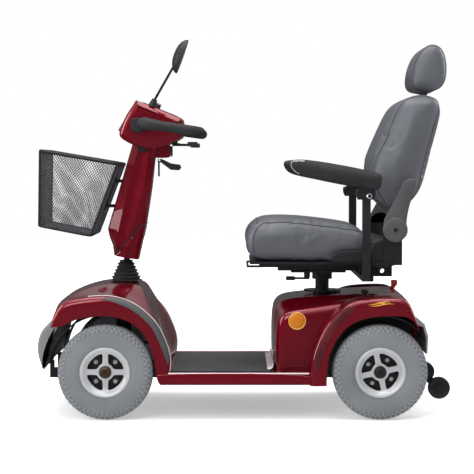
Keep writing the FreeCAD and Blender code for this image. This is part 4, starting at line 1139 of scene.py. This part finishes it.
def make_seat_shell():
    """The black moulded shell behind the cushion and the trim along its lower sides."""
    outline = [(401, 549), (420, 562), (437, 568), (470, 561), (490, 553), (470, 474), (401, 474)]
    outline = spaced(soften(outline, 2), 70)
    piece("seat_shell", pillow(outline, both_sides(rounding(236, 9))), PLASTIC, "seat", "black_plastic")
    trim = soften([(266, 493), (276, 509), (290, 520), (312, 528), (404, 531), (404, 493)], 1)
    for name, side in SIDES.items():
        plate = make(f"seat_trim_{name}", prism(trim, *sorted((side * 222, side * 237))), PLASTIC)
        belongs(round_edges(plate, 3), "seat", "black_plastic")
    arm = spaced(soften([
        (440, 590), (440, 622), (448, 642), (470, 680), (496, 734), (508, 752), (524, 758), (539, 755),
        (543, 740), (537, 720), (523, 680), (513, 636), (512, 590),
    ], 2), 80)
    disc = [(0.2, 14.5), (8, 14.5), (9.5, 13), (10, 11.5), (15, 11), (31, 12.5), (36, 11.5), (39, 8),
            (39, 0), (0.2, 0)]
    for name, side in SIDES.items():
        low, high = sorted((side * 243.5, side * 251.5))
        stations = [
            (low, 2.5), (low + 0.8, 1.0), (low + 2.5, 0), (high - 2.5, 0), (high - 0.8, 1.0), (high, 2.5),
        ]
        piece(
            f"recliner_arm_{name}", pillow(arm, stations), TRIM,
            "backrest", "black_plastic", "recliner_covers",
        )
        shape = lathe(disc, (477, side * 243.5, 596), (0, side, 0), 64, closed=False)
        piece(f"recliner_disc_{name}", shape, TRIM, "backrest", "black_plastic")


def make_mirror():
    """The mirror's shell, a shallow teardrop bowl, with its glass towards the rider."""
    low, high = (Vector(c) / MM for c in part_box("mirror_head"))
    centre = (low + high) / 2
    tilt = math.radians(20)
    turns = np.arange(56) * 2 * math.pi / 56

    def ring(share, depth):
        rim = []
        for a in turns:
            narrow = 1 - 0.16 * math.sin(a)
            y = 45 * share * math.cos(a) * narrow
            z = 56 * share * math.sin(a)
            rim.append((
                centre.x + depth * math.cos(tilt) + z * math.sin(tilt),
                centre.y + y,
                centre.z - depth * math.sin(tilt) + z * math.cos(tilt),
            ))
        return rim

    bowl = [(0.05, -19), (0.3, -18), (0.55, -15), (0.78, -9), (0.93, -1), (1.0, 6), (1.0, 9), (0.96, 10),
            (0.94, 8), (0.9, 8)]
    piece(
        "mirror_shell", capped([ring(share, depth) for share, depth in bowl]), PLASTIC,
        "mirror_head", "mirror_back", "mirror_head", sharp=50,
    )
    piece(
        "mirror_glass", capped([ring(0.94, 8.2), ring(0.94, 9.0)]), GLASS,
        "mirror_head", "mirror_back", sharp=50,
    )


def make_badge():
    """A plain gold swoosh on each wing and the black knob on the tub's top."""
    strokes = [
        [(388, 362), (410, 366), (432, 378), (448, 382), (458, 377), (452, 371)],
        [(396, 358), (424, 361), (446, 367), (470, 366)],
        [(418, 371), (434, 370), (444, 374), (440, 379)],
    ]
    for name, side in SIDES.items():
        tree = surface_tree(bpy.data.objects[f"wing_{name}_skin"])
        lines = []
        for stroke in strokes:
            laid = []
            for x, z in spaced(soften(stroke, 3, False), 24, closed=False):
                spot, normal, _, _ = tree.find_nearest(Vector((x, side * 320, z)) * MM)
                laid.append((spot / MM)[:])
            lines.append(tube(laid, np.sin(np.linspace(0.15, math.pi - 0.15, 24)) * 1.8, 8))
        piece(f"wing_swoosh_{name}", joined(lines), GOLD, "chassis", "amber_lens")
    knob = soften([(0.2, 14), (9, 13.5), (12.5, 10), (12.5, 4), (9, 2), (9, -6), (0.2, -6)], 1, False)
    shape = lathe(knob, (390, -150, 386), (0, 0, 1), 40, closed=False)
    piece("top_knob", shape, PLASTIC, "chassis", "black_plastic")


def surface_tree(obj):
    mesh = obj.data
    return BVHTree.FromPolygons([v.co[:] for v in mesh.vertices], [p.vertices[:] for p in mesh.polygons])


# ---------------------------------------------------------------- stage


def add_light(name, place, aim, size, power, colour=(1, 1, 1)):
    data = bpy.data.lights.new(name, "AREA")
    data.shape = "RECTANGLE"
    data.size, data.size_y = size
    data.energy = power
    data.color = colour
    lamp = bpy.data.objects.new(name, data)
    lamp.location = place
    lamp.rotation_euler = (Vector(aim) - Vector(place)).to_track_quat("-Z", "Y").to_euler()
    bpy.context.scene.collection.objects.link(lamp)


def make_stage():
    """A wide white floor in a white studio, soft lights and the camera."""
    rings = [0.5, 4000, 12000]
    turns = np.linspace(0, 2 * math.pi, 49)[:-1]
    rows = [[(r * math.cos(a), r * math.sin(a), 0) for a in turns] for r in rings]
    white = bpy.data.materials.new("white_floor")
    white.use_nodes = True
    nodes, links = white.node_tree.nodes, white.node_tree.links
    shader = tuned(nodes["Principled BSDF"], Base_Color=(0.9, 0.9, 0.9, 1), Roughness=0.55,
                   Specular_IOR_Level=0.2, Emission_Color=(1, 1, 1, 1))
    distance = nodes.new("ShaderNodeVectorMath")
    distance.operation = "LENGTH"
    links.new(nodes.new("ShaderNodeNewGeometry").outputs["Position"], distance.inputs[0])
    glow = added(nodes, "MapRange", From_Min=0.8, From_Max=3.6, To_Min=0.42, To_Max=1.0)
    links.new(distance.outputs["Value"], glow.inputs["Value"])
    links.new(glow.outputs["Result"], shader.inputs["Emission Strength"])
    dim = added(nodes, "BsdfDiffuse", Color=(0.12, 0.12, 0.12, 1))
    dimmed = nodes.new("ShaderNodeMixShader")
    links.new(nodes.new("ShaderNodeLightPath").outputs["Is Glossy Ray"], dimmed.inputs["Fac"])
    links.new(shader.outputs["BSDF"], dimmed.inputs[1])
    links.new(dim.outputs["BSDF"], dimmed.inputs[2])
    links.new(dimmed.outputs["Shader"], nodes["Material Output"].inputs["Surface"])
    floor = make("floor", grid(rows, around=True), white)

    world = bpy.data.worlds.new("studio")
    bpy.context.scene.world = world
    world.use_nodes = True
    nodes, links = world.node_tree.nodes, world.node_tree.links
    glow = tuned(nodes["Background"], Color=(1, 1, 1, 1))
    up = nodes.new("ShaderNodeSeparateXYZ")
    links.new(nodes.new("ShaderNodeTexCoord").outputs["Generated"], up.inputs["Vector"])
    dome = added(nodes, "MapRange", From_Min=0.15, From_Max=0.7, To_Min=0.1, To_Max=0.75)
    links.new(up.outputs["Z"], dome.inputs["Value"])
    links.new(dome.outputs["Result"], glow.inputs["Strength"])
    white = added(nodes, "Background", Strength=1.0, Color=(1, 1, 1, 1))
    seen = nodes.new("ShaderNodeMixShader")
    links.new(nodes.new("ShaderNodeLightPath").outputs["Is Camera Ray"], seen.inputs["Fac"])
    links.new(glow.outputs["Background"], seen.inputs[1])
    links.new(white.outputs["Background"], seen.inputs[2])
    links.new(seen.outputs["Shader"], nodes["World Output"].inputs["Surface"])
    target = (0.0, 0.0, 0.5)
    add_light("overhead", (-0.2, -0.4, 3.2), (0, 0, 0.4), (3.0, 1.8), 70)
    add_light("near_fill", (-1.6, -3.6, 2.2), target, (1.6, 1.6), 32)
    add_light("front_strip", (-2.8, -0.6, 1.4), target, (0.6, 2.0), 34)
    add_light("side_strip", (0.1, -2.4, 2.7), target, (2.8, 0.16), 12)
    add_light("back_strip", (2.6, 0.8, 1.8), target, (0.7, 2.0), 28)
    bpy.context.scene.view_settings.view_transform = "Standard"

    lens_data = bpy.data.cameras.new("camera")
    lens_data.sensor_width = 36.0
    lens_data.lens = 114.8
    camera = bpy.data.objects.new("camera", lens_data)
    camera.location = (-0.021, -5.0, 0.8)
    camera.rotation_euler = (math.radians(90 - 2.73), 0, 0)
    bpy.context.scene.collection.objects.link(camera)
    bpy.context.scene.camera = camera


make_stage()
dress_frame()
for end in ENDS:
    for side_name in SIDES:
        make_wheel(end, side_name)
make_cowl()
make_rear_body()
make_rear_arches()
make_sills()
make_front_bumper()
make_badge()
make_reflectors()
make_floor_mat()
make_boot()
make_tiller()
make_console()
make_handlebar()
make_basket()
make_seat()
make_seat_shell()
make_mirror()
